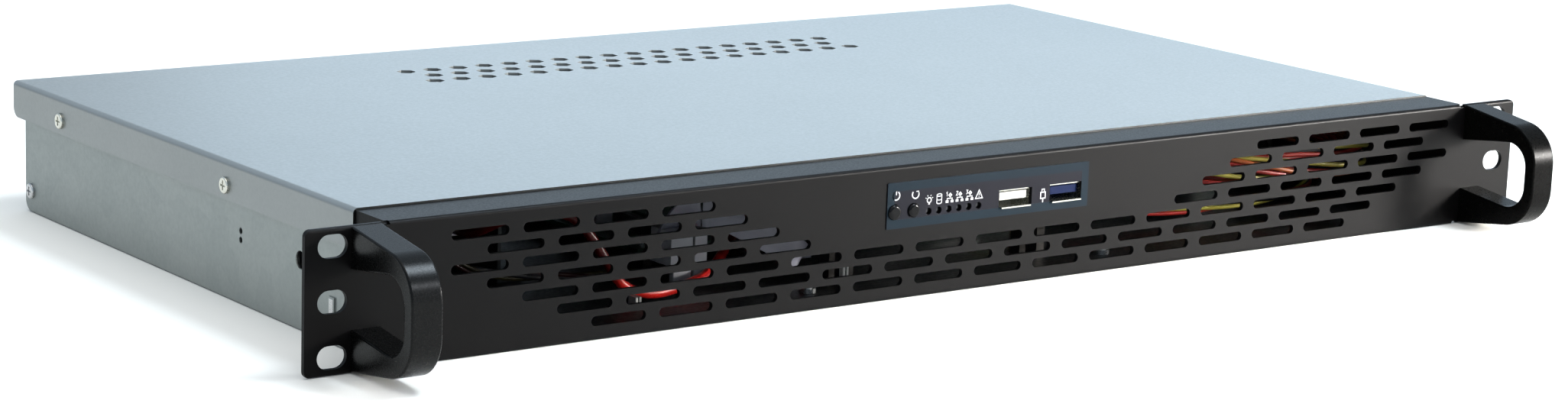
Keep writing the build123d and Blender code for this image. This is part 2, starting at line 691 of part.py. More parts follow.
def fan_rotor(x, z, size, depth, bore):
    """Hub with its shaft and seven pitched blades."""
    hub_r = size * 0.27
    tip_r = bore - 0.6
    front = depth[0] + 1.0
    back = depth[1] - 4.0
    long = back - front
    hub = rod_y(hub_r, x, (front, back), z)
    hub = fillet(hub.edges().sort_by(Axis.Y)[0], 1.2)
    rotor = hub
    middle = deep((front + back) / 2)
    limit = rod_y(tip_r, x, (front + 0.4, back - 0.4), z)
    for k in range(7):
        blade = Pos((hub_r + tip_r) / 2, 0, 0) * Rot(38, 0, 0) * Box(tip_r - hub_r + 4, long * 1.6, 1.1)
        blade = Pos(x, middle, z) * Rot(0, 360 / 7 * k, 0) * blade
        rotor += blade & limit
    return rotor + rod_y(1.0, x, (back, depth[1] - 0.6), z)


FAN_DEPTH = (TRAY_DEPTH - REAR_T - 0.1 - FAN_DEEP, TRAY_DEPTH - REAR_T - 0.1)
FAN_BORE = 18.8
PSU_FAN_DEPTH = (PSU_DEPTH[1] - PSU_T - 0.1 - FAN_DEEP, PSU_DEPTH[1] - PSU_T - 0.1)
PSU_FAN_BORE = 17.6
PSU_FAN_Z = 21.3


def fan_screws():
    """Screws through the rear panel into the corners of both system fans."""
    small = screw(2.8, 1.6, 1.5, 8.0)
    found = []
    for x in FAN_X:
        for dx, dz in ring_of(4, 16 * 2 ** 0.5, pi / 4):
            found.append(Pos(x + dx, deep(TRAY_DEPTH), FAN_Z + dz) * Rot(-90, 0, 0) * small)
    return found


# ---------------------------------------------------------------- power supply
INLET_X = 187.5
INLET_Z = 15.5
ROCKER_X = 187.5
ROCKER_Z = 33.0


def psu_case():
    """Open-topped steel box of the power supply."""
    case = block(PSU_X, PSU_DEPTH, (PSU_Z[0], PSU_Z[1] - PSU_T))
    inner_x = (PSU_X[0] + PSU_T, PSU_X[1] - PSU_T)
    inner_depth = (PSU_DEPTH[0] + PSU_T, PSU_DEPTH[1] - PSU_T)
    case -= block(inner_x, inner_depth, (PSU_Z[0] + PSU_T, PSU_Z[1] + 1))
    rear = (PSU_DEPTH[1] - 2, PSU_DEPTH[1] + 1)
    case -= rod_y(17.2, PSU_FAN_X, rear, PSU_FAN_Z)
    case -= block((INLET_X - 14.0, INLET_X + 14.0), rear, (INLET_Z - 10.2, INLET_Z + 10.2))
    case -= block((ROCKER_X - 7.2, ROCKER_X + 7.2), rear, (ROCKER_Z - 4.9, ROCKER_Z + 4.9))
    front = (PSU_DEPTH[0] - 1, PSU_DEPTH[0] + 2)
    case -= rod_y(7.0, LOOM_X, front, LOOM_Z)
    case -= rod_y(4.0, LEAD_X, front, LEAD_Z)
    for i in range(6):
        for k in range(4):
            case -= rod_y(1.9, PSU_X[0] + 8 + 6.5 * i, front, 8.5 + 7 * k)
    for side in (PSU_X[0] + 0.5, PSU_X[1] - 0.5):
        for k in range(5):
            gap = ((side - 2, side + 2), (104 + 9 * k, 107 + 9 * k), (10, 32))
            case -= block(*gap)
    return case


LOOM_X = 187.0
LOOM_Z = 26.0
LEAD_X = 202.5
LEAD_Z = 12.0


def lead_grommets():
    """Bushes in the power supply's front wall that the leads pass through."""
    found = []
    for x, z, radius in ((LOOM_X, LOOM_Z, 6.9), (LEAD_X, LEAD_Z, 3.9)):
        bush = rod_y(radius, x, (PSU_DEPTH[0] - 1.5, PSU_DEPTH[0] + 2.4), z)
        bush += rod_y(radius + 1.3, x, (PSU_DEPTH[0] - 1.5, PSU_DEPTH[0]), z)
        found.append(bush - rod_y(radius - 1.2, x, (PSU_DEPTH[0], PSU_DEPTH[0] + 4), z))
    return found


def psu_lid():
    """Flat lid of the power supply, held by four screws."""
    lid = block(PSU_X, PSU_DEPTH, (PSU_Z[1] - PSU_T, PSU_Z[1]))
    for k in range(9):
        lid -= block((147, 193), (108 + 8 * k, 110.6 + 8 * k), (PSU_Z[1] - 2, PSU_Z[1] + 1))
    return lid


def psu_board():
    """Power supply's circuit board on its floor, with a cooling plate."""
    z = PSU_Z[0] + PSU_T + 3
    x = (PSU_X[0] + PSU_T + 0.5, PSU_X[1] - PSU_T - 0.5)
    board = block(x, (PSU_DEPTH[0] + 4, 214.0), (z, z + PCB_T))
    for px in (x[0] + 6, x[1] - 6):
        for depth in (PSU_DEPTH[0] + 10, 208.0):
            board += rod_z(2.5, px, depth, (PSU_Z[0] + PSU_T, z))
    return board


PSU_BOARD_TOP = PSU_Z[0] + PSU_T + 3 + PCB_T


def psu_heatsinks():
    """Two upright aluminium plates along the power supply's board."""
    found = []
    for x in (143.0, 174.0):
        plate = block((x, x + 2), (120, 190), (PSU_BOARD_TOP, 36.0))
        for k in range(6):
            front = 122 + 11.6 * k
            plate += block((x + 2, x + 6), (front, front + 1.4), (PSU_BOARD_TOP + 8, 36.0))
        found.append(plate)
    return found


def psu_transformer():
    """Main transformer, a wound core on its bobbin."""
    core = block((151, 171), (146, 172), (PSU_BOARD_TOP, PSU_BOARD_TOP + 24))
    return core + block((152.5, 169.5), (143, 175), (PSU_BOARD_TOP + 4, PSU_BOARD_TOP + 20))


def psu_capacitors():
    """Bulk and output capacitors of the power supply."""
    places = [(9.0, 194.0, 200.0, 28), (5.0, 158.0, 106.0, 20), (5.0, 172.0, 106.0, 20),
              (5.0, 144.0, 106.0, 20), (6.0, 197.0, 130.0, 16)]
    return [rod_z(r, x, d, (PSU_BOARD_TOP, PSU_BOARD_TOP + h)) for r, x, d, h in places]


def ac_inlet():
    """Three-pin mains inlet with its flange and recess."""
    flange = Pos(INLET_X, INLET_Z) * RectangleRounded(32.0, 22.4, 2.0)
    body = Pos(INLET_X, INLET_Z) * RectangleRounded(27.6, 20.0, 2.0)
    recess = Pos(INLET_X, INLET_Z) * RectangleRounded(24.4, 16.4, 3.0)
    inlet = plate_y(flange, (PSU_DEPTH[1], PSU_DEPTH[1] + 2.4)) + plate_y(body, (223.0, PSU_DEPTH[1]))
    inlet -= plate_y(recess, (226.0, PSU_DEPTH[1] + 4))
    return inlet


def inlet_pins():
    """Flat contact pins of the mains inlet."""
    found = []
    for dx, dz in ((-7.0, -1.9), (7.0, -1.9), (0.0, 1.9)):
        x = INLET_X + dx
        z = INLET_Z + dz
        found.append(block((x - 1.0, x + 1.0), (226.0, 240.0), (z - 2.0, z + 2.0)))
    return found


ROCKER_PIVOT_DEPTH = 237.6


def rocker_frame():
    """Bezel and body of the mains switch."""
    flange = Pos(ROCKER_X, ROCKER_Z) * RectangleRounded(17.0, 11.4, 1.0)
    body = Pos(ROCKER_X, ROCKER_Z) * Rectangle(14.0, 9.4)
    frame = plate_y(flange, (PSU_DEPTH[1], PSU_DEPTH[1] + 1.6)) + plate_y(body, (226.0, PSU_DEPTH[1]))
    hole = Pos(ROCKER_X, ROCKER_Z) * Rectangle(11.2, 7.4)
    frame -= plate_y(hole, (231.5, PSU_DEPTH[1] + 3))
    return frame - rod_z(0.8, ROCKER_X, ROCKER_PIVOT_DEPTH, (ROCKER_Z - 4.3, ROCKER_Z + 4.3))


def power_rocker():
    """Rocking actuator: two flats at a shallow angle on a short axle."""
    low, high = ROCKER_Z - 3.5, ROCKER_Z + 3.5
    flats = Polyline((-5.0, 0.0), (-5.0, 3.3), (0.0, 4.5), (5.0, 3.3), (5.0, 0.0), (2.0, -4.0), (-2.0, -4.0),
                     close=True)
    sketch = Pos(ROCKER_X, deep(ROCKER_PIVOT_DEPTH)) * make_face(flats)
    key = plate_z(sketch, (low, high))
    axle = rod_z(0.72, ROCKER_X, ROCKER_PIVOT_DEPTH, (ROCKER_Z - 4.2, ROCKER_Z + 4.2))
    return key + axle


# ---------------------------------------------------------------- storage
def drive_bracket():
    """Folded bridge that lifts the drive off the floor."""
    x0, x1 = SSD_X[0] - 2.0, SSD_X[1] + 2.0
    depth = (SSD_DEPTH[0] + 6, SSD_DEPTH[1] - 6)
    top = (SSD_Z[0] - SHEET_T, SSD_Z[0])
    bridge = block((x0, x1), depth, top)
    for left, foot in ((x0, (x0 - 5.6, x0 + 1.2)), (x1 - 1.2, (x1 - 1.2, x1 + 8))):
        bridge += block((left, left + 1.2), depth, (SHEET_T, top[1]))
        bridge += block(foot, depth, (SHEET_T, 2 * SHEET_T))
    for x, d in drive_screw_places():
        bridge -= rod_z(1.6, x, d, (0, 40))
    middle_x = (SSD_X[0] + SSD_X[1]) / 2
    for k in range(3):
        bridge -= block((middle_x - 20, middle_x + 20), (92 + 20 * k, 100 + 20 * k), (top[0] - 1, top[1] + 1))
    return bridge


def drive_screw_places():
    """The drive's four underside holes."""
    across = (SSD_X[0] + 4.1, SSD_X[1] - 4.1)
    along = (SSD_DEPTH[0] + 14, SSD_DEPTH[0] + 90.6)
    return [(x, d) for x in across for d in along]


def drive():
    """Solid-state drive with its edge connector recess."""
    body = block(SSD_X, SSD_DEPTH, SSD_Z)
    body = fillet(body.edges().filter_by(Axis.Z), 2.0)
    recess_z = (SSD_Z[0] + 1, SSD_Z[1] - 1.5)
    body -= block((SSD_X[0] + 12, SSD_X[0] + 52), (SSD_DEPTH[0] - 1, SSD_DEPTH[0] + 5), recess_z)
    for x, d in drive_screw_places():
        body -= rod_z(1.6, x, d, (SSD_Z[0] - 1, SSD_Z[0] + 3))
    return body


def drive_screws():
    """Screws from under the bracket into the drive."""
    small = Rot(180, 0, 0) * screw(2.6, 1.4, 1.5, 3.6)
    return [Pos(x, deep(d), SSD_Z[0] - SHEET_T) * small for x, d in drive_screw_places()]


# ---------------------------------------------------------------- cables
DRIVE_PLUG_X = ((SSD_X[0] + 13, SSD_X[0] + 33), (SSD_X[0] + 37, SSD_X[0] + 51))
DRIVE_PLUG_Z = (SSD_Z[0] + 1.1, SSD_Z[1] - 1.6)
HEADER_X = ((8.0, 31.0), (38.0, 56.0))
HEADER_DEPTH = (71.0, 76.2)
FAN_SOCKET_DEPTHS = (190.0, 203.0)
RIBBON_WIDE = 20.0


def board_sockets():
    """Power, data, fan and front-panel sockets soldered to the main board."""
    found = [block(ATX_X, ATX_DEPTH, (BOARD_TOP, ATX_SPLIT))]
    for k in range(2):
        front = SATA_DEPTH - 13 * k
        found.append(block(SATA_X, (front, front + 10), (BOARD_TOP, BOARD_TOP + 6.5)))
    for x in HEADER_X:
        found.append(block(x, HEADER_DEPTH, (BOARD_TOP, BOARD_TOP + 2.6)))
    for front in FAN_SOCKET_DEPTHS:
        found.append(block((-84.0, -76.0), (front, front + 8), (BOARD_TOP, BOARD_TOP + 6)))
    return found


def lead_plugs():
    """Plugs on the ends of the inside leads, and a spare one lying on the drive's lead."""
    found = []
    for x in DRIVE_PLUG_X:
        found.append(block(x, (SSD_DEPTH[0] - 12, SSD_DEPTH[0] + 4.8), DRIVE_PLUG_Z))
    front = SATA_DEPTH - 13
    found.append(block(SATA_X, (front + 0.5, front + 9.5), (BOARD_TOP + 6.5, BOARD_TOP + 15)))
    for x in HEADER_X:
        found.append(block(x, HEADER_DEPTH, (BOARD_TOP + 2.6, BOARD_TOP + 8.2)))
    found.append(block((6.0, 29.0), (29.0, FRONT_BOARD_DEPTH[1]), (FRONT_BOARD_TOP, FRONT_BOARD_TOP + 4.2)))
    found.append(block((30.0, 37.0), (26.0, FRONT_BOARD_DEPTH[1]), (FRONT_BOARD_TOP, FRONT_BOARD_TOP + 5.6)))
    found.append(block((-94.5, -81.0), (35.2, 46.5), (9.6, 20.4)))
    plug = block(ATX_X, ATX_DEPTH, (ATX_SPLIT, ATX_SPLIT + 11))
    found.append(plug + block((ATX_X[0] - 1.6, ATX_X[0]), (113, 123), (ATX_SPLIT - 3, ATX_SPLIT + 11)))
    return found


def cable(points, radius):
    """Round lead along a hand-set route; every bend is as wide as its runs allow."""
    spots = [Vector(x, deep(d), z) for x, d, z in points]
    radii = []
    for before, here, after in zip(spots, spots[1:], spots[2:]):
        turn = (here - before).get_angle(after - here) * pi / 180
        shorter = min((here - before).length, (after - here).length)
        radii.append(0.45 * shorter / tan(turn / 2))
    path = FilletPolyline(*spots, radius=radii)
    section = Plane(origin=path @ 0, z_dir=path % 0) * Circle(radius)
    lead = sweep(section, path=path)
    ideal = pi * radius ** 2 * path.length
    ratio = lead.volume / ideal
    print(f"lead: length {path.length:.0f}, smallest bend {min(radii):.1f}, volume ratio {ratio:.3f}")
    return lead


def sata_cable():
    """Red data lead: from the drive, in a loop behind the panel, to the board."""
    z = sum(DRIVE_PLUG_Z) / 2
    x = sum(DRIVE_PLUG_X[1]) / 2
    end = SATA_DEPTH - 13 + 5
    points = [(x, SSD_DEPTH[0] - 12, z), (x, 44.5, z), (-151.0, 36.0, 31.5), (-136.0, 27.5, 33.0),
              (-126.5, 25.0, 19.0), (-119.5, 25.0, 8.0), (-108.0, 25.5, 4.3), (-95.0, 28.0, 5.0),
              (-82.0, 33.0, 6.2), (-73.0, 37.5, 11.8), (-62.5, 46.0, 16.5), (-51.0, 59.0, 18.5),
              (-50.0, 74.0, 25.0), (-60.0, 90.0, 33.0), (-74.0, end - 1, 35.0), (-77.0, end, 31.0),
              (-77.0, end, BOARD_TOP + 15)]
    return cable(points, 1.6)


def power_loom():
    """Main bundle from the power supply, round the gap beside the board, to its plug."""
    z = ATX_SPLIT + 5.5
    points = [(LOOM_X, PSU_DEPTH[0] - 1.5, LOOM_Z), (LOOM_X, 72.0, LOOM_Z), (200.0, 55.0, 25.0),
              (203.5, 37.0, 21.8), (190.0, 27.0, 20.8), (164.0, 27.5, 20.6), (138.0, 30.0, 20.5),
              (122.0, 38.0, 20.5), (113.5, 54.0, 20.5), (110.5, 77.0, 21.0), (110.0, 98.0, 22.0),
              (101.0, 116.0, z), (80.0, 116.0, z)]
    return cable(points, 4.3)


def drive_power_lead():
    """Thin lead from the power supply along the front to the drive's power plug."""
    z = sum(DRIVE_PLUG_Z) / 2
    x = sum(DRIVE_PLUG_X[0]) / 2
    points = [(LEAD_X, PSU_DEPTH[0] - 1.5, LEAD_Z), (LEAD_X, 68.0, LEAD_Z), (195.0, 50.0, 9.5),
              (174.0, 38.0, 7.5), (146.0, 36.0, 6.8), (112.0, 40.5, 6.6), (78.0, 47.0, 6.6),
              (40.0, 51.0, 6.6), (0.0, 52.0, 6.6),
              (-38.0, 50.0, 6.6), (-74.0, 44.0, 6.8), (-106.0, 40.0, 7.5), (-134.0, 43.0, 9.0),
              (-158.0, 38.0, 13.0), (-173.0, 32.5, 19.0), (x, 40.0, z), (x, SSD_DEPTH[0] - 12, z)]
    return cable(points, 1.9)


def front_ribbon():
    """Flat lead from the front board to the board's panel header."""
    x = sum(HEADER_X[0]) / 2
    z = FRONT_BOARD_TOP + 2.2
    depth = sum(HEADER_DEPTH) / 2
    spots = [(x, FRONT_BOARD_DEPTH[1], z), (x, 50.0, z), (x, depth, z - 4.0), (x, depth, BOARD_TOP + 8.2)]
    spots = [Vector(a, deep(d), c) for a, d, c in spots]
    path = FilletPolyline(*spots, radius=[40.0, 5.0])
    section = Plane(origin=path @ 0, x_dir=(1, 0, 0), z_dir=path % 0) * Rectangle(RIBBON_WIDE, 1.2)
    return sweep(section, path=path)


def usb_lead():
    """Round lead from the front ports to the board's port header."""
    x = sum(HEADER_X[1]) / 2
    depth = sum(HEADER_DEPTH) / 2
    points = [(33.5, FRONT_BOARD_DEPTH[1], 28.0), (33.5, 46.0, 28.0), (39.0, 58.0, 27.0),
              (x, depth, 26.0), (x, depth, BOARD_TOP + 8.2)]
    return cable(points, 1.9)


def fan_leads():
    """Leads from the two system fans to the board."""
    near, far = [front + 4 for front in reversed(FAN_SOCKET_DEPTHS)]
    first = [(FAN_X[1] + 20, 226.0, 11.0), (-109.0, 226.0, 11.0), (-103.0, 216.0, 11.0),
             (-96.0, near, 11.0), (-84.0, near, 11.0)]
    second = [(FAN_X[0] + 12, FAN_DEPTH[0], 6.0), (FAN_X[0] + 12, 208.0, 6.0), (-163.0, 199.0, 5.5),
              (-144.0, 195.0, 5.0), (-124.0, 192.5, 6.0), (-103.0, far, 11.0), (-84.0, far, 11.0)]
    return [cable(first, 1.2), cable(second, 1.2)]


# ---------------------------------------------------------------- nodes
def system_fan(build, x):
    """One system fan's frame or rotor."""
    return build(x, FAN_Z, FAN_SIZE, FAN_DEPTH, FAN_BORE)


def supply_fan(build):
    """The power supply fan's frame or rotor."""
    return build(PSU_FAN_X, PSU_FAN_Z, PSU_FAN_SIZE, PSU_FAN_DEPTH, PSU_FAN_BORE)


def save_shell():
    """Housing, handles and their fasteners."""
    grip = handle()
    save("front_bezel", front_bezel())
    save("control_label", control_label())
    save("handle_left", grip)
    save("handle_right", mirrored(grip))
    save("handle_screws", *handle_screws())
    save("chassis_tray", chassis_tray())
    save("top_cover", top_cover())
    save("cover_screws", *side_screws(COVER_SCREW_DEPTHS, COVER_SCREW_Z, COVER_HALF))
    save("rear_panel", rear_panel())
    walls = side_screws([WALL_SCREW_DEPTH], WALL_SCREW_Z, TRAY_HALF)
    save("case_screws", *bezel_screws(), *floor_screws(), *walls)


def save_front():
    """Buttons, lights and ports of the control panel."""
    save("power_button", push_button(POWER_X, POWER_R))
    save("reset_button", push_button(RESET_X, RESET_R))
    save("tact_switches", *tact_switches())
    save("status_leds", *status_leds())
    save("usb_shells", *[usb_shell(x) for x in USB_X])
    save("usb2_tongue", usb_tongue(USB_X[0]))
    save("usb3_tongue", usb_tongue(USB_X[1]))
    save("front_io_board", front_io_board())


def save_board():
    """Main board and what is mounted on it."""
    save("standoffs", *standoffs(board_posts(), BOARD_Z), *standoffs(front_posts(), FRONT_BOARD_TOP - PCB_T))
    screws = board_screws(board_posts(), BOARD_TOP) + board_screws(front_posts(), FRONT_BOARD_TOP)
    screws += board_screws(sink_posts(), BOARD_TOP + 6.2)
    save("inside_screws", *screws, *drive_screws())
    save("motherboard", motherboard())
    save("cpu_package", cpu_package())
    save("cpu_heatsink", cpu_heatsink())
    save("chipset_heatsink", chipset_heatsink())
    save("memory_socket", memory_socket())
    save("memory_module", memory_module())
    save("capacitors", *capacitors(), *psu_capacitors())
    save("chokes", *chokes())
    save("backup_battery", backup_battery())
    save("battery_holder", battery_holder())
    save("board_sockets", *board_sockets())
    save("lead_plugs", *lead_plugs())
    save("lan_jacks", *lan_jacks())
    save("rear_usb_stacks", *rear_usb_stacks())
    save("serial_port", dsub_port(SERIAL_X, 2, 5))
    save("vga_port", dsub_port(VGA_X, 3, 5))
    save("io_shield", io_shield())


def save_supply():
    """Power supply, fans and mains inlet."""
    frames = [system_fan(fan_frame, x) for x in FAN_X]
    save("fan_frames", *frames, supply_fan(fan_frame))
    save("fan_rotor_left", system_fan(fan_rotor, FAN_X[0]))
    save("fan_rotor_right", system_fan(fan_rotor, FAN_X[1]))
    save("fan_screws", *fan_screws())
    save("psu_fan_rotor", supply_fan(fan_rotor))
    save("psu_case", psu_case())
    save("psu_lid", psu_lid())
    save("psu_board", psu_board())
    save("psu_heatsinks", *psu_heatsinks())
    save("psu_transformer", psu_transformer())
    save("ac_inlet", ac_inlet())
    save("inlet_pins", *inlet_pins())
    save("rocker_frame", rocker_frame())
    save("power_rocker", power_rocker())
    save("lead_grommets", *lead_grommets())


def save_inside():
    """Storage and the leads."""
    save("drive_bracket", drive_bracket())
    save("drive", drive())
    save("sata_cable", sata_cable())
    save("power_loom", power_loom())
    save("drive_power_lead", drive_power_lead())
    save("front_ribbon", front_ribbon())
    save("usb_lead", usb_lead())
    save("fan_leads", *fan_leads())


os.makedirs("parts", exist_ok=True)
save_shell()
save_front()
save_board()
save_supply()
save_inside()
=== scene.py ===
import math
import random

import bmesh
import bpy
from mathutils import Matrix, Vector


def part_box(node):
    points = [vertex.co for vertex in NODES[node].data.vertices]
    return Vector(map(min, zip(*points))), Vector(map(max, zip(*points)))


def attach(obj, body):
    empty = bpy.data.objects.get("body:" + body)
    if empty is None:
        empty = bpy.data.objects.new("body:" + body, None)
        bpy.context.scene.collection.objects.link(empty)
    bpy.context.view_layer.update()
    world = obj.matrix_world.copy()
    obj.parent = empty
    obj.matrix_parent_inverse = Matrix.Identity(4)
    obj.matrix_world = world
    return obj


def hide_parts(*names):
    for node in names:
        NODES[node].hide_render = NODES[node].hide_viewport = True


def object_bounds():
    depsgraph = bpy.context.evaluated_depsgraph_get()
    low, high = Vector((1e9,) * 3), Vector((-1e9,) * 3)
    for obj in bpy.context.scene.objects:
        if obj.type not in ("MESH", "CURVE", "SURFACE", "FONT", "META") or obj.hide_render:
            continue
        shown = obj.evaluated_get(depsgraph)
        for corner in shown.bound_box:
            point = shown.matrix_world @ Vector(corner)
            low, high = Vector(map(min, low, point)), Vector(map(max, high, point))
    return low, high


# Looks of the short-depth rack firewall appliance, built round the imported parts.
# +X right, +Y to the back, +Z up, in metres. Sizes below are in millimetres
# and "depth" is the distance behind the front panel's outer face.

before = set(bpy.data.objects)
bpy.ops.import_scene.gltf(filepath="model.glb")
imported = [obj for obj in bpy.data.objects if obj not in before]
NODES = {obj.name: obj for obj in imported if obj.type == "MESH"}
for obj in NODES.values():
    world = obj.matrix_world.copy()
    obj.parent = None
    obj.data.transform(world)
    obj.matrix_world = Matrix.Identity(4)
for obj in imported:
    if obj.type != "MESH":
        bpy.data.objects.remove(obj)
CAD_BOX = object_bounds()
DICE = random.Random(7)

MM = 0.001
BEZEL_RETURN = 17.5         # depth of the front panel's folded edges
FACE_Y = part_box("front_bezel")[1].y - BEZEL_RETURN * MM
FILM_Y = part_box("control_label")[0].y

# ---------------------------------------------------------------- camera and light
CAMERA_PLACE = (-0.70399, -0.9681, 0.25329)
CAMERA_TURN = (78.25, -2.037, -36.12)
CAMERA_LENS = 81.706
CAMERA_SENSOR = 36
CAMERA_REACH = 30
WORLD_COLOUR = (0.72, 0.86, 1.0)
WORLD_LIGHT = 0.86
FLOOR_HALF = 5.0
FLOOR_CELLS = 8
WARM, PALE_WARM = (1.0, 0.93, 0.85), (1.0, 0.97, 0.93)
COOL, PALE_COOL, SKY_COOL = (0.66, 0.84, 1.0), (0.90, 0.94, 1.0), (0.78, 0.90, 1.0)
# Each light: place, target, size, power, colour and, where it is narrow, its spread in degrees.
LIGHTS = {
    "overhead": ((-0.35, -0.45, 2.4), (0, 0, 0), (2.6, 2.0), 24, WARM),
    "back": ((2.4, 2.5, 0.85), (0, 0, 0), (2.6, 1.0), 11, COOL),
    "front_right": ((2.1, -1.55, 0.20), (0.22, -0.12, 0.02), (1.0, 0.34), 24, PALE_WARM),
    "front_near": ((0.85, -0.80, 0.25), (0.14, -0.12, 0.02), (0.26, 0.16), 1.7, PALE_WARM, 33),
    "handle_top": ((0.50, -0.42, 1.3), (-0.22, -0.15, 0.03), (0.45, 0.35), 15, SKY_COOL),
    "window": ((0.57, -1.27, 0.86), (-0.22, -0.14, 0.03), (0.30, 0.20), 4, PALE_COOL),
}


def aimed(name, place, target, size, power, colour, spread=180):
    """Rectangular soft light at a place, facing a target."""
    lamp = bpy.data.lights.new(name, "AREA")
    lamp.shape = "RECTANGLE"
    lamp.size, lamp.size_y = size
    lamp.energy = power
    lamp.color = colour
    lamp.spread = math.radians(spread)
    holder = bpy.data.objects.new(name, lamp)
    bpy.context.scene.collection.objects.link(holder)
    holder.location = place
    holder.rotation_euler = (Vector(target) - Vector(place)).to_track_quat("-Z", "Y").to_euler()


def studio():
    """Camera, soft lights and the white surroundings."""
    scene = bpy.context.scene
    camera = bpy.data.cameras.new("camera")
    camera.lens = CAMERA_LENS
    camera.sensor_width = CAMERA_SENSOR
    camera.clip_end = CAMERA_REACH
    eye = bpy.data.objects.new("camera", camera)
    scene.collection.objects.link(eye)
    eye.location = CAMERA_PLACE
    eye.rotation_euler = [math.radians(a) for a in CAMERA_TURN]
    scene.camera = eye
    scene.view_settings.view_transform = "Standard"
    world = bpy.data.worlds.new("surroundings")
    scene.world = world
    world.use_nodes = True
    sky = world.node_tree.nodes["Background"]
    sky.inputs["Color"].default_value = (*WORLD_COLOUR, 1)
    sky.inputs["Strength"].default_value = WORLD_LIGHT
    for name, settings in LIGHTS.items():
        aimed(name, *settings)


def floor():
    """Plain pale floor under the feet."""
    mesh = bpy.data.meshes.new("floor")
    box = bmesh.new()
    bmesh.ops.create_grid(box, x_segments=FLOOR_CELLS, y_segments=FLOOR_CELLS, size=FLOOR_HALF)
    box.to_mesh(mesh)
    box.free()
    ground = bpy.data.objects.new("floor", mesh)
    bpy.context.scene.collection.objects.link(ground)
    ground.location = (0, 0, CAD_BOX[0].z)
    ground.data.materials.append(finish("pale_floor"))


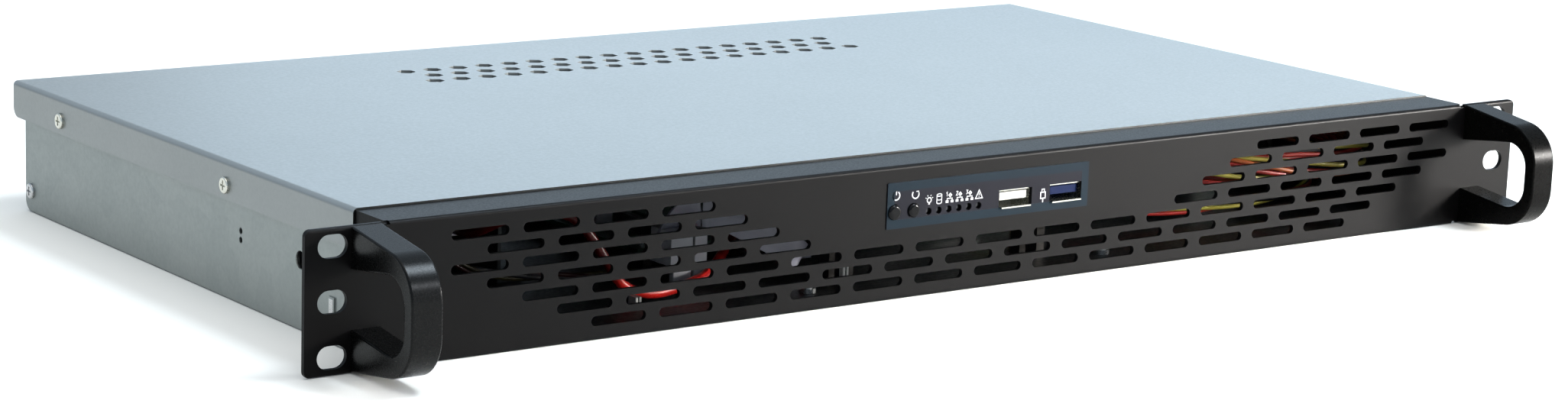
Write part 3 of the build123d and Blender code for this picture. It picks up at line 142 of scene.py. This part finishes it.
# ---------------------------------------------------------------- materials
# Each recipe: two tones, roughness range, metal share, blotches and grains per metre, bump
# height in millimetres and, where they differ from the usual, stretch of the pattern along
# X, Y, Z, specular level, coat, zinc crystals or copper tracks per metre, and fades. A fade
# is an axis, two places along it in millimetres, the share of the colour kept at each, and
# whether it is mirrored about the middle. Fades darken what the photo shows in deep shade:
# the inner faces of the tray's walls, the lid's front edge and side folds, and low leads.
RECIPES = {
    "pale_floor": dict(tones=((0.93, 0.89, 0.83), (0.95, 0.91, 0.85)), rough=(0.8, 0.9), patch=3,
                       grain=60, relief=0.0),
    "powder_coat": dict(tones=((0.0018, 0.0016, 0.0017), (0.0028, 0.0026, 0.0026)),
                        rough=(0.36, 0.46), patch=55, grain=1700, relief=0.010, specular=0.075),
    "panel_film": dict(tones=((0.006, 0.006, 0.009), (0.009, 0.009, 0.013)), rough=(0.30, 0.38),
                       patch=90, grain=2600, relief=0.006, specular=0.07),
    "film_blue": dict(tones=((0.003, 0.008, 0.013), (0.0045, 0.011, 0.017)), rough=(0.35, 0.42),
                      patch=120, grain=2600, relief=0.004, specular=0.07),
    "print_white": dict(tones=((0.36, 0.36, 0.36), (0.42, 0.42, 0.42)), rough=(0.4, 0.5), patch=300,
                        grain=3000, relief=0.004),
    "handle_black": dict(tones=((0.0014, 0.0014, 0.0013), (0.0022, 0.0022, 0.0020)),
                         rough=(0.24, 0.30), patch=70, grain=1500, relief=0.003, specular=0.13),
    # The black handle finish again with darker tones and weaker specular: painted shade for the right
    # handle.
    "handle_black_painted_shade": dict(tones=((0.0010, 0.0010, 0.0009), (0.0016, 0.0016, 0.0014)),
                             rough=(0.26, 0.32), patch=70, grain=1500, relief=0.003, specular=0.03),
    "zinc_sheet": dict(tones=((0.215, 0.238, 0.228), (0.262, 0.280, 0.268)), rough=(0.38, 0.50),
                       metal=0.65, patch=34, grain=700, relief=0.008, spangle=95),
    "tray_sheet": dict(tones=((0.212, 0.235, 0.225), (0.259, 0.277, 0.265)), rough=(0.38, 0.50),
                       metal=0.65, patch=34, grain=700, relief=0.008, spangle=95,
                       fades=[("X", 214.5, 214.9, 0.06, 1.0, True)]),
    # Zinc sheet at about a quarter of its usual tone: painted shade on the drive bracket deep inside
    # the case.
    "zinc_sheet_painted_shade": dict(tones=((0.050, 0.055, 0.053), (0.065, 0.070, 0.067)), rough=(0.40, 0.52),
                       metal=0.6, patch=34, grain=700, relief=0.008, spangle=95),
    "data_lead": dict(tones=((0.42, 0.010, 0.008), (0.55, 0.018, 0.012)), rough=(0.26, 0.36),
                      patch=240, grain=1200, relief=0.01, specular=0.2,
                      fades=[("Z", 8.0, 14.0, 1.0, 0.10)]),
    "cover_sheet": dict(tones=((0.285, 0.300, 0.295), (0.315, 0.330, 0.325)), rough=(0.34, 0.42),
                        metal=0.85, patch=22, grain=900, relief=0.004,
                        fades=[("X", 215.9, 216.15, 1.0, 0.80, True),
                               ("Y", -105.75, -105.6, 0.10, 1.0)]),
    "nickel": dict(tones=((0.50, 0.49, 0.43), (0.66, 0.65, 0.58)), rough=(0.16, 0.32), metal=1.0,
                   patch=400, grain=3000, relief=0.008),
    "zinc_screw": dict(tones=((0.42, 0.42, 0.42), (0.56, 0.56, 0.56)), rough=(0.22, 0.36),
                       metal=1.0, patch=400, grain=3000, relief=0.008),
    "gloss_black": dict(tones=((0.0015, 0.0015, 0.0018), (0.0025, 0.0025, 0.0028)),
                        rough=(0.10, 0.16), patch=200, grain=900, relief=0.002, specular=0.12),
    "black_plastic": dict(tones=((0.010, 0.010, 0.011), (0.016, 0.016, 0.017)), rough=(0.34, 0.46),
                          patch=90, grain=1800, relief=0.02),
    "lens_smoke": dict(tones=((0.030, 0.030, 0.032), (0.045, 0.045, 0.048)), rough=(0.06, 0.12),
                       patch=400, grain=2000, relief=0.002, coat=0.4),
    "white_plastic": dict(tones=((0.35, 0.34, 0.31), (0.39, 0.38, 0.35)), rough=(0.35, 0.45),
                          patch=150, grain=1500, relief=0.012),
    "nylon": dict(tones=((0.42, 0.42, 0.44), (0.52, 0.52, 0.54)), rough=(0.38, 0.48), patch=130,
                  grain=1500, relief=0.012),
    "lavender_lead": dict(tones=((0.22, 0.22, 0.26), (0.30, 0.30, 0.35)), rough=(0.40, 0.50),
                          patch=90, grain=1300, relief=0.01),
    "blue_plastic": dict(tones=((0.002, 0.006, 0.030), (0.003, 0.009, 0.042)), rough=(0.40, 0.50),
                         patch=150, grain=1500, relief=0.010, specular=0.06),
    "green_board": dict(tones=((0.008, 0.060, 0.030), (0.012, 0.085, 0.042)), rough=(0.28, 0.42),
                        patch=120, grain=1400, relief=0.015, traces=520),
    "brown_board": dict(tones=((0.120, 0.070, 0.030), (0.160, 0.100, 0.045)), rough=(0.35, 0.5),
                        patch=120, grain=1400, relief=0.015, traces=380),
    "dark_plating": dict(tones=((0.016, 0.015, 0.014), (0.026, 0.025, 0.023)), rough=(0.30, 0.42),
                         metal=1.0, patch=300, grain=2500, relief=0.006),
    "aluminium": dict(tones=((0.36, 0.37, 0.38), (0.46, 0.47, 0.48)), rough=(0.30, 0.44), metal=0.9,
                      patch=90, grain=1200, relief=0.010, stretch=(1, 0.06, 1)),
    "can_sleeve": dict(tones=((0.012, 0.014, 0.020), (0.018, 0.021, 0.030)), rough=(0.25, 0.35),
                       patch=160, grain=1600, relief=0.006),
    "ferrite": dict(tones=((0.060, 0.060, 0.062), (0.085, 0.085, 0.088)), rough=(0.55, 0.68),
                    patch=220, grain=2200, relief=0.02),
    "yellow_tape": dict(tones=((0.50, 0.36, 0.04), (0.58, 0.43, 0.06)), rough=(0.30, 0.42),
                        patch=150, grain=1200, relief=0.01),
    "black_rubber": dict(tones=((0.012, 0.012, 0.012), (0.018, 0.018, 0.018)), rough=(0.60, 0.74),
                         patch=150, grain=1600, relief=0.02),
    "drive_shell": dict(tones=((0.10, 0.10, 0.11), (0.14, 0.14, 0.15)), rough=(0.35, 0.48),
                        metal=0.8, patch=120, grain=1500, relief=0.01, stretch=(1, 0.08, 1)),
    "wire_red": dict(tones=((0.17, 0.012, 0.010), (0.24, 0.020, 0.015)), rough=(0.32, 0.42),
                     patch=240, grain=1200, relief=0.01, specular=0.3),
    "wire_orange": dict(tones=((0.20, 0.045, 0.010), (0.26, 0.065, 0.015)), rough=(0.32, 0.42),
                        patch=240, grain=1200, relief=0.01, specular=0.3),
    "wire_yellow": dict(tones=((0.22, 0.19, 0.03), (0.29, 0.25, 0.045)), rough=(0.32, 0.42),
                        patch=240, grain=1200, relief=0.01, specular=0.3),
    "low_red": dict(tones=((0.20, 0.012, 0.010), (0.28, 0.020, 0.015)), rough=(0.32, 0.42),
                    patch=240, grain=1200, relief=0.01, specular=0.06,
                    fades=[("X", 20.0, 70.0, 0.02, 1.0)]),
    "low_yellow": dict(tones=((0.24, 0.21, 0.03), (0.31, 0.27, 0.045)), rough=(0.32, 0.42),
                       patch=240, grain=1200, relief=0.01, specular=0.06,
                       fades=[("X", 20.0, 70.0, 0.02, 1.0)]),
    "wire_black": dict(tones=((0.004, 0.004, 0.005), (0.007, 0.007, 0.008)), rough=(0.40, 0.52),
                       patch=240, grain=1200, relief=0.01, specular=0.06),
    "wire_grey": dict(tones=((0.30, 0.30, 0.31), (0.37, 0.37, 0.38)), rough=(0.35, 0.45), patch=240,
                      grain=1200, relief=0.01),
}

MADE = {}
USUAL_SPECULAR = 0.5
COAT_ROUGH = 0.05
BLOTCH_DETAIL, GRAIN_DETAIL = 3, 2
GRAIN_LOW, GRAIN_HIGH = 0.3, 0.7    # most of a noise value lies between these
CRYSTAL_SHARE = 0.5
TRACK_EDGE, TRACK_SHARE = 0.62, 1.2


def finish(name):
    """The named procedural material, made once from its recipe."""
    if name in MADE:
        return MADE[name]
    recipe = RECIPES[name]
    mat = bpy.data.materials.new(name)
    mat.use_nodes = True
    tree = mat.node_tree
    make, link = tree.nodes.new, tree.links.new
    shader = tree.nodes["Principled BSDF"]
    shader.inputs["Metallic"].default_value = recipe.get("metal", 0.0)
    shader.inputs["Specular IOR Level"].default_value = recipe.get("specular", USUAL_SPECULAR)
    shader.inputs["Coat Weight"].default_value = recipe.get("coat", 0.0)
    shader.inputs["Coat Roughness"].default_value = COAT_ROUGH
    coords = make("ShaderNodeTexCoord").outputs["Object"]
    if "stretch" in recipe:
        mapping = make("ShaderNodeMapping")
        mapping.inputs["Scale"].default_value = recipe["stretch"]
        link(coords, mapping.inputs["Vector"])
        coords = mapping.outputs["Vector"]
    share = noise(tree, coords, recipe["patch"], BLOTCH_DETAIL)
    grain = noise(tree, coords, recipe["grain"], GRAIN_DETAIL)
    if "spangle" in recipe:
        share = mottled(tree, coords, share, recipe["spangle"])
    if "traces" in recipe:
        share = traced(tree, coords, share, recipe["traces"])
    mix = make("ShaderNodeMix")
    mix.data_type = "RGBA"
    mix.inputs["A"].default_value = (*recipe["tones"][0], 1)
    mix.inputs["B"].default_value = (*recipe["tones"][1], 1)
    link(share, mix.inputs["Factor"])
    tone = mix.outputs["Result"]
    for fade in recipe.get("fades", ()):
        tone = faded(tree, coords, tone, *fade)
    link(tone, shader.inputs["Base Color"])
    link(ramp(tree, grain, GRAIN_LOW, GRAIN_HIGH, *recipe["rough"]), shader.inputs["Roughness"])
    bump = make("ShaderNodeBump")
    bump.inputs["Strength"].default_value = 1.0
    bump.inputs["Distance"].default_value = recipe["relief"] * MM
    link(grain, bump.inputs["Height"])
    link(bump.outputs["Normal"], shader.inputs["Normal"])
    MADE[name] = mat
    return mat


def noise(tree, coords, scale, detail):
    """Smooth random value over the surface."""
    node = tree.nodes.new("ShaderNodeTexNoise")
    node.inputs["Scale"].default_value = scale
    node.inputs["Detail"].default_value = detail
    tree.links.new(coords, node.inputs["Vector"])
    return node.outputs["Fac"]


def ramp(tree, value, start, stop, low, high):
    """Carries a value from one range to another."""
    node = tree.nodes.new("ShaderNodeMapRange")
    node.inputs["From Min"].default_value = start
    node.inputs["From Max"].default_value = stop
    node.inputs["To Min"].default_value = low
    node.inputs["To Max"].default_value = high
    tree.links.new(value, node.inputs["Value"])
    return node.outputs["Result"]


def faded(tree, coords, tone, axis, start, stop, low, high, mirrored=False):
    """Scales a colour from one share to another between two places along an axis."""
    parts = tree.nodes.new("ShaderNodeSeparateXYZ")
    tree.links.new(coords, parts.inputs["Vector"])
    place = parts.outputs[axis]
    if mirrored:
        size = tree.nodes.new("ShaderNodeMath")
        size.operation = "ABSOLUTE"
        tree.links.new(place, size.inputs[0])
        place = size.outputs["Value"]
    scaled = tree.nodes.new("ShaderNodeVectorMath")
    scaled.operation = "SCALE"
    tree.links.new(tone, scaled.inputs[0])
    tree.links.new(ramp(tree, place, start * MM, stop * MM, low, high), scaled.inputs["Scale"])
    return scaled.outputs["Vector"]


def blended(tree, pattern, weight, share):
    """Adds a weighted pattern to a blotch value."""
    node = tree.nodes.new("ShaderNodeMath")
    node.operation = "MULTIPLY_ADD"
    node.inputs[1].default_value = weight
    tree.links.new(pattern, node.inputs[0])
    tree.links.new(share, node.inputs[2])
    return node.outputs["Value"]


def mottled(tree, coords, share, scale):
    """Adds the crystal patches of zinc plating to a blotch value."""
    cells = tree.nodes.new("ShaderNodeTexVoronoi")
    cells.inputs["Scale"].default_value = scale
    tree.links.new(coords, cells.inputs["Vector"])
    grey = tree.nodes.new("ShaderNodeRGBToBW")
    tree.links.new(cells.outputs["Color"], grey.inputs["Color"])
    return blended(tree, grey.outputs["Val"], CRYSTAL_SHARE, share)


def traced(tree, coords, share, scale):
    """Adds a maze of fine copper tracks under lacquer to a blotch value."""
    cells = tree.nodes.new("ShaderNodeTexVoronoi")
    cells.distance = "CHEBYCHEV"
    cells.feature = "F2"
    cells.inputs["Scale"].default_value = scale
    tree.links.new(coords, cells.inputs["Vector"])
    edge = tree.nodes.new("ShaderNodeMath")
    edge.operation = "GREATER_THAN"
    edge.inputs[1].default_value = TRACK_EDGE
    tree.links.new(cells.outputs["Distance"], edge.inputs[0])
    return blended(tree, edge.outputs["Value"], TRACK_SHARE, share)


LOOKS = {
    "powder_coat": ["front_bezel"],
    "panel_film": ["control_label"],
    "handle_black": ["handle_left"],
    # The right handle takes the darker copy of the handle finish, which is painted shade.
    "handle_black_painted_shade": ["handle_right"],
    "zinc_sheet": ["rear_panel", "psu_case", "psu_lid", "io_shield"],
    "tray_sheet": ["chassis_tray"],
    "zinc_sheet_painted_shade": ["drive_bracket"],
    "cover_sheet": ["top_cover"],
    "nickel": ["cover_screws", "usb_shells", "lan_jacks", "rear_usb_stacks", "serial_port",
               "vga_port", "backup_battery", "inlet_pins"],
    "zinc_screw": ["case_screws", "inside_screws", "fan_screws", "handle_screws"],
    "gloss_black": ["power_button", "reset_button"],
    "black_plastic": ["tact_switches", "memory_socket", "battery_holder", "fan_frames",
                      "fan_rotor_left", "fan_rotor_right", "psu_fan_rotor", "ac_inlet",
                      "rocker_frame", "power_rocker"],
    "lens_smoke": ["status_leds"],
    "white_plastic": ["usb2_tongue"],
    "nylon": ["board_sockets", "lead_plugs"],
    "blue_plastic": ["usb3_tongue"],
    "green_board": ["motherboard", "front_io_board", "memory_module", "cpu_package"],
    "brown_board": ["psu_board"],
    "dark_plating": ["standoffs"],
    "aluminium": ["cpu_heatsink", "chipset_heatsink", "psu_heatsinks"],
    "can_sleeve": ["capacitors"],
    "ferrite": ["chokes"],
    "yellow_tape": ["psu_transformer"],
    "black_rubber": ["lead_grommets"],
    "drive_shell": ["drive"],
    "data_lead": ["sata_cable"],
    "wire_grey": ["front_ribbon"],
    "wire_black": ["usb_lead", "fan_leads", "drive_power_lead", "power_loom"],
}


def paint_nodes():
    """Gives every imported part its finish."""
    for look, names in LOOKS.items():
        for name in names:
            for slot in NODES[name].material_slots:
                slot.material = finish(look)


# ---------------------------------------------------------------- small helpers
def spot(x, depth, z):
    """Point in metres from X, depth and height in millimetres."""
    return Vector((x * MM, FACE_Y + depth * MM, z * MM))


def piece(name, data, look):
    """Object for new geometry, with its finish, that rides on the case."""
    thing = bpy.data.objects.new(name, data)
    bpy.context.scene.collection.objects.link(thing)
    data.materials.append(finish(look))
    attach(thing, "case")
    return thing


def as_mesh(name, shape):
    """Mesh from a bmesh, with its normals outward."""
    bmesh.ops.recalc_face_normals(shape, faces=shape.faces)
    mesh = bpy.data.meshes.new(name)
    shape.to_mesh(mesh)
    shape.free()
    return mesh


SHARPEST_MITRE = 0.4


def band(shape, points, width, front, back, closed=False):
    """Flat stroke of even width in the panel's plane, with a little thickness."""
    count = len(points)
    rings = []
    for k, (x, z) in enumerate(points):
        here = Vector((x, z))
        before = Vector(points[k - 1]) if closed or k else here
        after = Vector(points[(k + 1) % count]) if closed or k < count - 1 else here
        along_in = (here - before).normalized() if here != before else (after - here).normalized()
        along_out = (after - here).normalized() if here != after else along_in
        side_in = Vector((-along_in.y, along_in.x))
        side_out = Vector((-along_out.y, along_out.x))
        mitre = (side_in + side_out).normalized()
        reach = width / 2 / max(mitre.dot(side_out), SHARPEST_MITRE)
        ring = []
        for sign, y in ((1, front), (-1, front), (-1, back), (1, back)):
            flat = here + mitre * reach * sign
            ring.append(shape.verts.new((flat.x * MM, y, flat.y * MM)))
        rings.append(ring)
    spans = count if closed else count - 1
    for k in range(spans):
        a, b = rings[k], rings[(k + 1) % count]
        for i in range(4):
            shape.faces.new((a[i], a[(i + 1) % 4], b[(i + 1) % 4], b[i]))
    if not closed:
        shape.faces.new(rings[0])
        shape.faces.new(rings[-1])


def arc(x, z, radius, start, end, steps=20, squash=1.0):
    """Points of an arc, angles in degrees from +X, counter-clockwise."""
    angles = [math.radians(start + (end - start) * k / steps) for k in range(steps + 1)]
    return [(x + radius * math.cos(a), z + radius * squash * math.sin(a)) for a in angles]


def circle(x, z, radius, steps=24, squash=1.0):
    """Points of a full circle or ellipse, without the repeated last point."""
    return arc(x, z, radius, 0, 360, steps, squash)[:-1]


# ---------------------------------------------------------------- control panel print
LED_X = -22.1
LED_PITCH = 4.0
ICON_Z = 30.75
POWER_SPOT, RESET_SPOT, PORT_SPOT = (-35.2, 33.2), (-27.6, 33.0), (24.3, 27.9)
PRINT_T = 0.03 * MM
STROKE = 0.42
OUTLINE_HALF = 1.45         # half the width of the control panel's outline
OUTLINE_GAP = 0.1


def power_icon(draw, x, z):
    """Broken ring with a bar."""
    draw(arc(x, z, 1.35, 122, 418), STROKE)
    draw([(x, z + 0.2), (x, z + 1.85)], STROKE)


def reset_icon(draw, x, z):
    """Ring left open at the top, with an arrow head."""
    draw(arc(x, z, 1.3, 140, 400), STROKE)
    tip_x, tip_z = arc(x, z, 1.3, 400, 400, 1)[0]
    head = [(tip_x - 0.75, tip_z + 0.05), (tip_x + 0.1, tip_z + 0.1), (tip_x + 0.2, tip_z - 0.75)]
    draw(head, 0.3)


def lamp_icon(draw, x, z):
    """Lamp: ring, base and rays."""
    draw(circle(x, z - 0.1, 0.8, 18), 0.36, closed=True)
    draw([(x - 0.35, z - 1.3), (x + 0.35, z - 1.3)], 0.4)
    for turn in (25, 65, 115, 155):
        draw([arc(x, z, radius, turn, turn, 1)[0] for radius in (1.2, 1.65)], 0.26)


def disk_icon(draw, x, z):
    """Storage cylinder."""
    draw(circle(x, z + 1.15, 0.95, 20, 0.42), 0.32, closed=True)
    draw([(x - 0.95, z + 1.1), (x - 0.95, z - 1.2)], 0.32)
    draw([(x + 0.95, z + 1.1), (x + 0.95, z - 1.2)], 0.32)
    draw(arc(x, z - 1.2, 0.95, 180, 360, 10, 0.42), 0.32)
    draw(arc(x, z - 0.05, 0.95, 180, 360, 10, 0.42), 0.26)


def network_icon(draw, x, z, digit):
    """Three joined boxes with the port's number."""
    draw(circle(x + 0.35, z + 0.75, 0.5, 4), 0.42, closed=True)
    draw([(x + 0.35, z + 0.35), (x + 0.35, z - 0.3)], 0.3)
    left, right = x - 0.85, x + 1.15
    draw([(left, z - 0.85), (left, z - 0.3), (right, z - 0.3), (right, z - 0.85)], 0.3)
    for middle in (left, right):
        draw([(middle - 0.55, z - 1.25), (middle + 0.55, z - 1.25)], 0.8)
    strokes = {
        1: [(0.05, 0.3), (0.35, 0.0), (0.35, 1.3)],
        2: [(0.0, 0.2), (0.35, 0.0), (0.7, 0.25), (0.0, 1.3), (0.75, 1.3)],
        3: [(0.0, 0.0), (0.65, 0.1), (0.3, 0.6), (0.7, 0.95), (0.0, 1.3)],
    }
    draw([(x - 1.25 + along, z + 1.75 - down) for along, down in strokes[digit]], 0.24)


def alarm_icon(draw, x, z):
    """Warning triangle with its mark."""
    draw([(x - 1.4, z - 1.35), (x + 1.4, z - 1.35), (x, z + 1.3)], 0.34, closed=True)
    draw([(x, z + 0.35), (x, z - 0.45)], 0.3)
    draw([(x, z - 0.75), (x, z - 1.0)], 0.3)


def port_icon(draw, x, z):
    """Plug pictogram: tip, body and lead."""
    draw([(x - 0.5, z + 1.1), (x - 0.5, z + 2.0), (x + 0.5, z + 2.0), (x + 0.5, z + 1.1)], 0.34)
    body = [(x - 0.95, z - 0.95), (x - 0.95, z + 1.0), (x + 0.95, z + 1.0), (x + 0.95, z - 0.95)]
    draw(body, 0.38, closed=True)
    draw([(x, z - 1.0), (x, z - 2.3)], 0.42)


def label_print():
    """White symbols and the blue outline of the control panel."""
    shape = bmesh.new()

    def draw(points, width, closed=False):
        band(shape, points, width, FILM_Y - PRINT_T, FILM_Y + PRINT_T, closed)

    power_icon(draw, *POWER_SPOT)
    reset_icon(draw, *RESET_SPOT)
    lamp_icon(draw, LED_X, ICON_Z)
    disk_icon(draw, LED_X + LED_PITCH, ICON_Z)
    for k in (1, 2, 3):
        network_icon(draw, LED_X + (k + 1) * LED_PITCH, ICON_Z, k)
    alarm_icon(draw, LED_X + 5 * LED_PITCH, ICON_Z)
    port_icon(draw, *PORT_SPOT)
    piece("label_symbols", as_mesh("label_symbols", shape), "print_white")
    low, high = (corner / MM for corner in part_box("control_label"))
    edge = bmesh.new()
    x0, x1 = low.x + OUTLINE_HALF, high.x - OUTLINE_HALF
    z0, z1 = low.z + OUTLINE_HALF, high.z - OUTLINE_HALF
    corners = [(x0, z0), (x1, z0), (x1, z1), (x0, z1)]
    width = 2 * OUTLINE_HALF - OUTLINE_GAP
    band(edge, corners, width, FILM_Y - PRINT_T, FILM_Y + PRINT_T, closed=True)
    piece("label_outline", as_mesh("label_outline", edge), "film_blue")


# ---------------------------------------------------------------- inside leads
LOOM_ROUTE = [(187.0, 86.5, 26.0), (187.0, 72.0, 26.0), (200.0, 55.0, 25.0), (203.5, 37.0, 21.8),
              (190.0, 27.0, 20.8), (164.0, 27.5, 20.6), (138.0, 30.0, 20.5), (122.0, 38.0, 20.5),
              (113.5, 54.0, 20.5), (110.5, 77.0, 21.0), (110.0, 98.0, 22.0), (101.0, 116.0, 22.8),
              (80.0, 116.0, 22.8)]
DRIVE_ROUTE = [(202.5, 86.5, 12.0), (202.5, 68.0, 12.0), (195.0, 50.0, 9.5), (174.0, 38.0, 7.5),
               (146.0, 36.0, 6.8), (112.0, 40.5, 6.6), (78.0, 47.0, 6.6), (40.0, 51.0, 6.6),
               (0.0, 52.0, 6.6), (-38.0, 50.0, 6.6), (-74.0, 44.0, 6.8), (-106.0, 40.0, 7.5),
               (-134.0, 43.0, 9.0), (-158.0, 38.0, 13.0), (-173.0, 32.5, 19.0), (-181.9, 40.0, 24.55),
               (-181.9, 54.0, 24.55)]
FLAT_ROUTE = [(-90.0, 43.0, 19.0), (-91.0, 38.0, 25.0), (-86.5, 31.0, 27.5), (-78.0, 27.0, 25.0),
              (-69.0, 26.0, 20.0), (-60.0, 26.0, 15.5), (-51.5, 26.5, 11.0), (-46.0, 33.0, 7.5),
              (-45.0, 50.0, 7.0), (-45.0, 67.0, 8.6)]
LOOM_WIRES = {"wire_red": 9, "wire_orange": 3, "wire_yellow": 3, "wire_black": 5}
DRIVE_WIRES = {"low_red": 1, "low_yellow": 1, "wire_black": 2}
LINE_STEPS = 10             # points of a centre line between two places of its route
PICK_EVERY = 4              # a wire bends at every fourth of them
WIRE_ROUND, WIRE_STEPS = 3, 4
GOLDEN_ANGLE = 2.39996      # spreads the wires evenly over the bundle
SWELL_EARLY, SWELL_POWER = 1.15, 0.7
SWAY, SWAY_RATE = 0.35, 9
RIBBON_WIRES = 10
RIBBON_WAVE = 0.02          # share of the flat lead's thickness
LEAST_LEAN = 0.35           # below this the flat lead counts as running front to back


def centre_line(route):
    """Points along the smooth line of a route of (x, depth, z) places."""
    curve = bpy.data.curves.new("route", "CURVE")
    curve.dimensions = "3D"
    spline = curve.splines.new("NURBS")
    spline.points.add(len(route) - 1)
    for point, place in zip(spline.points, route):
        point.co = (*spot(*place), 1)
    spline.order_u = 3
    spline.use_endpoint_u = True
    spline.resolution_u = LINE_STEPS
    holder = bpy.data.objects.new("route", curve)
    line = bpy.data.meshes.new_from_object(holder)
    points = [v.co.copy() for v in line.vertices]
    bpy.data.objects.remove(holder)
    bpy.data.curves.remove(curve)
    bpy.data.meshes.remove(line)
    return points


def side_frames(points):
    """Two directions across the line at each point, carried along without twist."""
    found = []
    across = Vector((0, 0, 1))
    for k, here in enumerate(points):
        ahead = points[min(k + 1, len(points) - 1)]
        behind = points[max(k - 1, 0)]
        along = (ahead - behind).normalized()
        across = (across - along * across.dot(along)).normalized()
        found.append((across.copy(), along.cross(across)))
    return found


def wire_bundle(name, route, wires, spread, turns, gauge, stands_for):
    """Loose twisted wires along a route, in place of a packed lead.

    wires says how many wires there are of each finish, spread gives the bundle's radius at its
    ends and in the middle, and gauge is a wire's thickness.
    """
    points = centre_line(route)
    frames = side_frames(points)
    total = sum(wires.values())
    order = [look for look, count in wires.items() for _ in range(count)]
    DICE.shuffle(order)
    last = len(points) - 1
    made = {}
    for k, look in enumerate(order):
        ring = math.sqrt((k + 0.5) / total)
        angle = k * GOLDEN_ANGLE + DICE.uniform(-0.3, 0.3)
        sway = DICE.uniform(0.6, 1.4)
        if look not in made:
            curve = bpy.data.curves.new(f"{name}_{look}", "CURVE")
            curve.dimensions = "3D"
            curve.bevel_depth = gauge / 2 * MM
            curve.bevel_resolution = WIRE_ROUND
            curve.resolution_u = WIRE_STEPS
            made[look] = curve
        picks = list(range(0, last, PICK_EVERY)) + [last]
        spline = made[look].splines.new("NURBS")
        spline.points.add(len(picks) - 1)
        for point, i in zip(spline.points, picks):
            t = i / last
            swell = math.sin(math.pi * min(t * SWELL_EARLY, 1.0)) ** SWELL_POWER
            loose = spread[0] + (spread[1] - spread[0]) * swell
            reach = loose * ring * MM
            turn = angle + turns * 2 * math.pi * t + SWAY * math.sin(sway * SWAY_RATE * t + k)
            up, side = frames[i]
            place = points[i] + up * reach * math.cos(turn) + side * reach * math.sin(turn)
            point.co = (*place, 1)
        spline.order_u = 3
        spline.use_endpoint_u = True
    things = [piece(curve.name, curve, look) for look, curve in made.items()]
    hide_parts(stands_for)


def leads():
    """Fine wires in place of the plain inside leads."""
    wire_bundle("loom", LOOM_ROUTE, LOOM_WIRES, (3.2, 5.6), 1.3, 1.7, "power_loom")
    wire_bundle("drive_wires", DRIVE_ROUTE, DRIVE_WIRES, (1.1, 1.5), 5.0, 1.5, "drive_power_lead")


def ribbon(name, route, width, thick, look):
    """Flat lead: a rounded strip carried along a smooth route, its flat side to the front."""
    points = centre_line(route)
    shape = bmesh.new()
    rings = []
    last = len(points) - 1
    for k, here in enumerate(points):
        along = (points[min(k + 1, last)] - points[max(k - 1, 0)]).normalized()
        across = Vector((0, 1, 0)).cross(along)
        if across.length < LEAST_LEAN:
            across = Vector((1, 0, 0))
        across = (across - along * across.dot(along)).normalized()
        if across.x < 0:
            across = -across
        normal = along.cross(across)
        ring = []
        for side, order in ((1, range(RIBBON_WIRES)), (-1, reversed(range(RIBBON_WIRES)))):
            for i in order:
                aside = (i / (RIBBON_WIRES - 1) - 0.5) * width * MM
                rise = thick * MM * (0.5 + RIBBON_WAVE * (1 if i % 2 else -1))
                ring.append(here + across * aside + normal * rise * side)
        rings.append([shape.verts.new(p) for p in ring])
    for a, b in zip(rings, rings[1:]):
        for i in range(len(a)):
            j = (i + 1) % len(a)
            shape.faces.new((a[i], a[j], b[j], b[i]))
    shape.faces.new(rings[0])
    shape.faces.new(rings[-1])
    piece(name, as_mesh(name, shape), look)


# Small bars, each between two X, two depths and two heights.
SADDLES = [((-117.5, -116.6), (20.0, 24.0), (1.25, 5.7)),
           ((-116.2, -115.3), (20.0, 24.0), (1.25, 5.7)),
           ((-49.2, -48.3), (7.0, 9.0), (1.25, 11.0)), ((-47.7, -47.0), (7.0, 9.0), (1.25, 11.0))]
LATCH = [((-93.4, -86.7), (35.3, 37.6), (4.0, 9.5)), ((-85.5, -78.6), (35.3, 37.6), (3.6, 9.5))]
GROOVE = [((-86.4, -85.7), (34.95, 35.6), (9.7, 20.3))]
WALL_LUGS = [((-215.75, -215.3), (29.9, 32.3), (7.0, 13.8)),
             ((215.3, 215.75), (29.9, 32.3), (7.0, 13.8))]
BEVEL_STEPS, BEVEL_SHAPE = 3, 0.6
FLAT_WIDE, FLAT_THICK = 9.0, 0.9


def rounded_bar(name, boxes, look, round_off):
    """Small moulded or pressed bars with rounded edges."""
    shape = bmesh.new()
    for x, depth, z in boxes:
        made = bmesh.ops.create_cube(shape, size=1.0)["verts"]
        low, high = spot(x[0], depth[0], z[0]), spot(x[1], depth[1], z[1])
        size, middle = high - low, (high + low) / 2
        for v in made:
            v.co = Vector([middle[i] + v.co[i] * size[i] for i in range(3)])
    bmesh.ops.bevel(shape, geom=shape.edges[:], offset=round_off * MM, segments=BEVEL_STEPS,
                    affect="EDGES", profile=BEVEL_SHAPE)
    piece(name, as_mesh(name, shape), look)


def small_parts():
    """Flat lead, lead saddles, mould lines of the spare plug and bright lugs of the side walls."""
    ribbon("flat_lead", FLAT_ROUTE, FLAT_WIDE, FLAT_THICK, "lavender_lead")
    rounded_bar("lead_saddles", SADDLES, "white_plastic", 0.2)
    rounded_bar("plug_latch", LATCH, "nylon", 0.35)
    rounded_bar("plug_groove", GROOVE, "black_plastic", 0.05)
    rounded_bar("wall_lugs", WALL_LUGS, "zinc_screw", 0.12)


studio()
floor()
paint_nodes()
label_print()
leads()
small_parts()
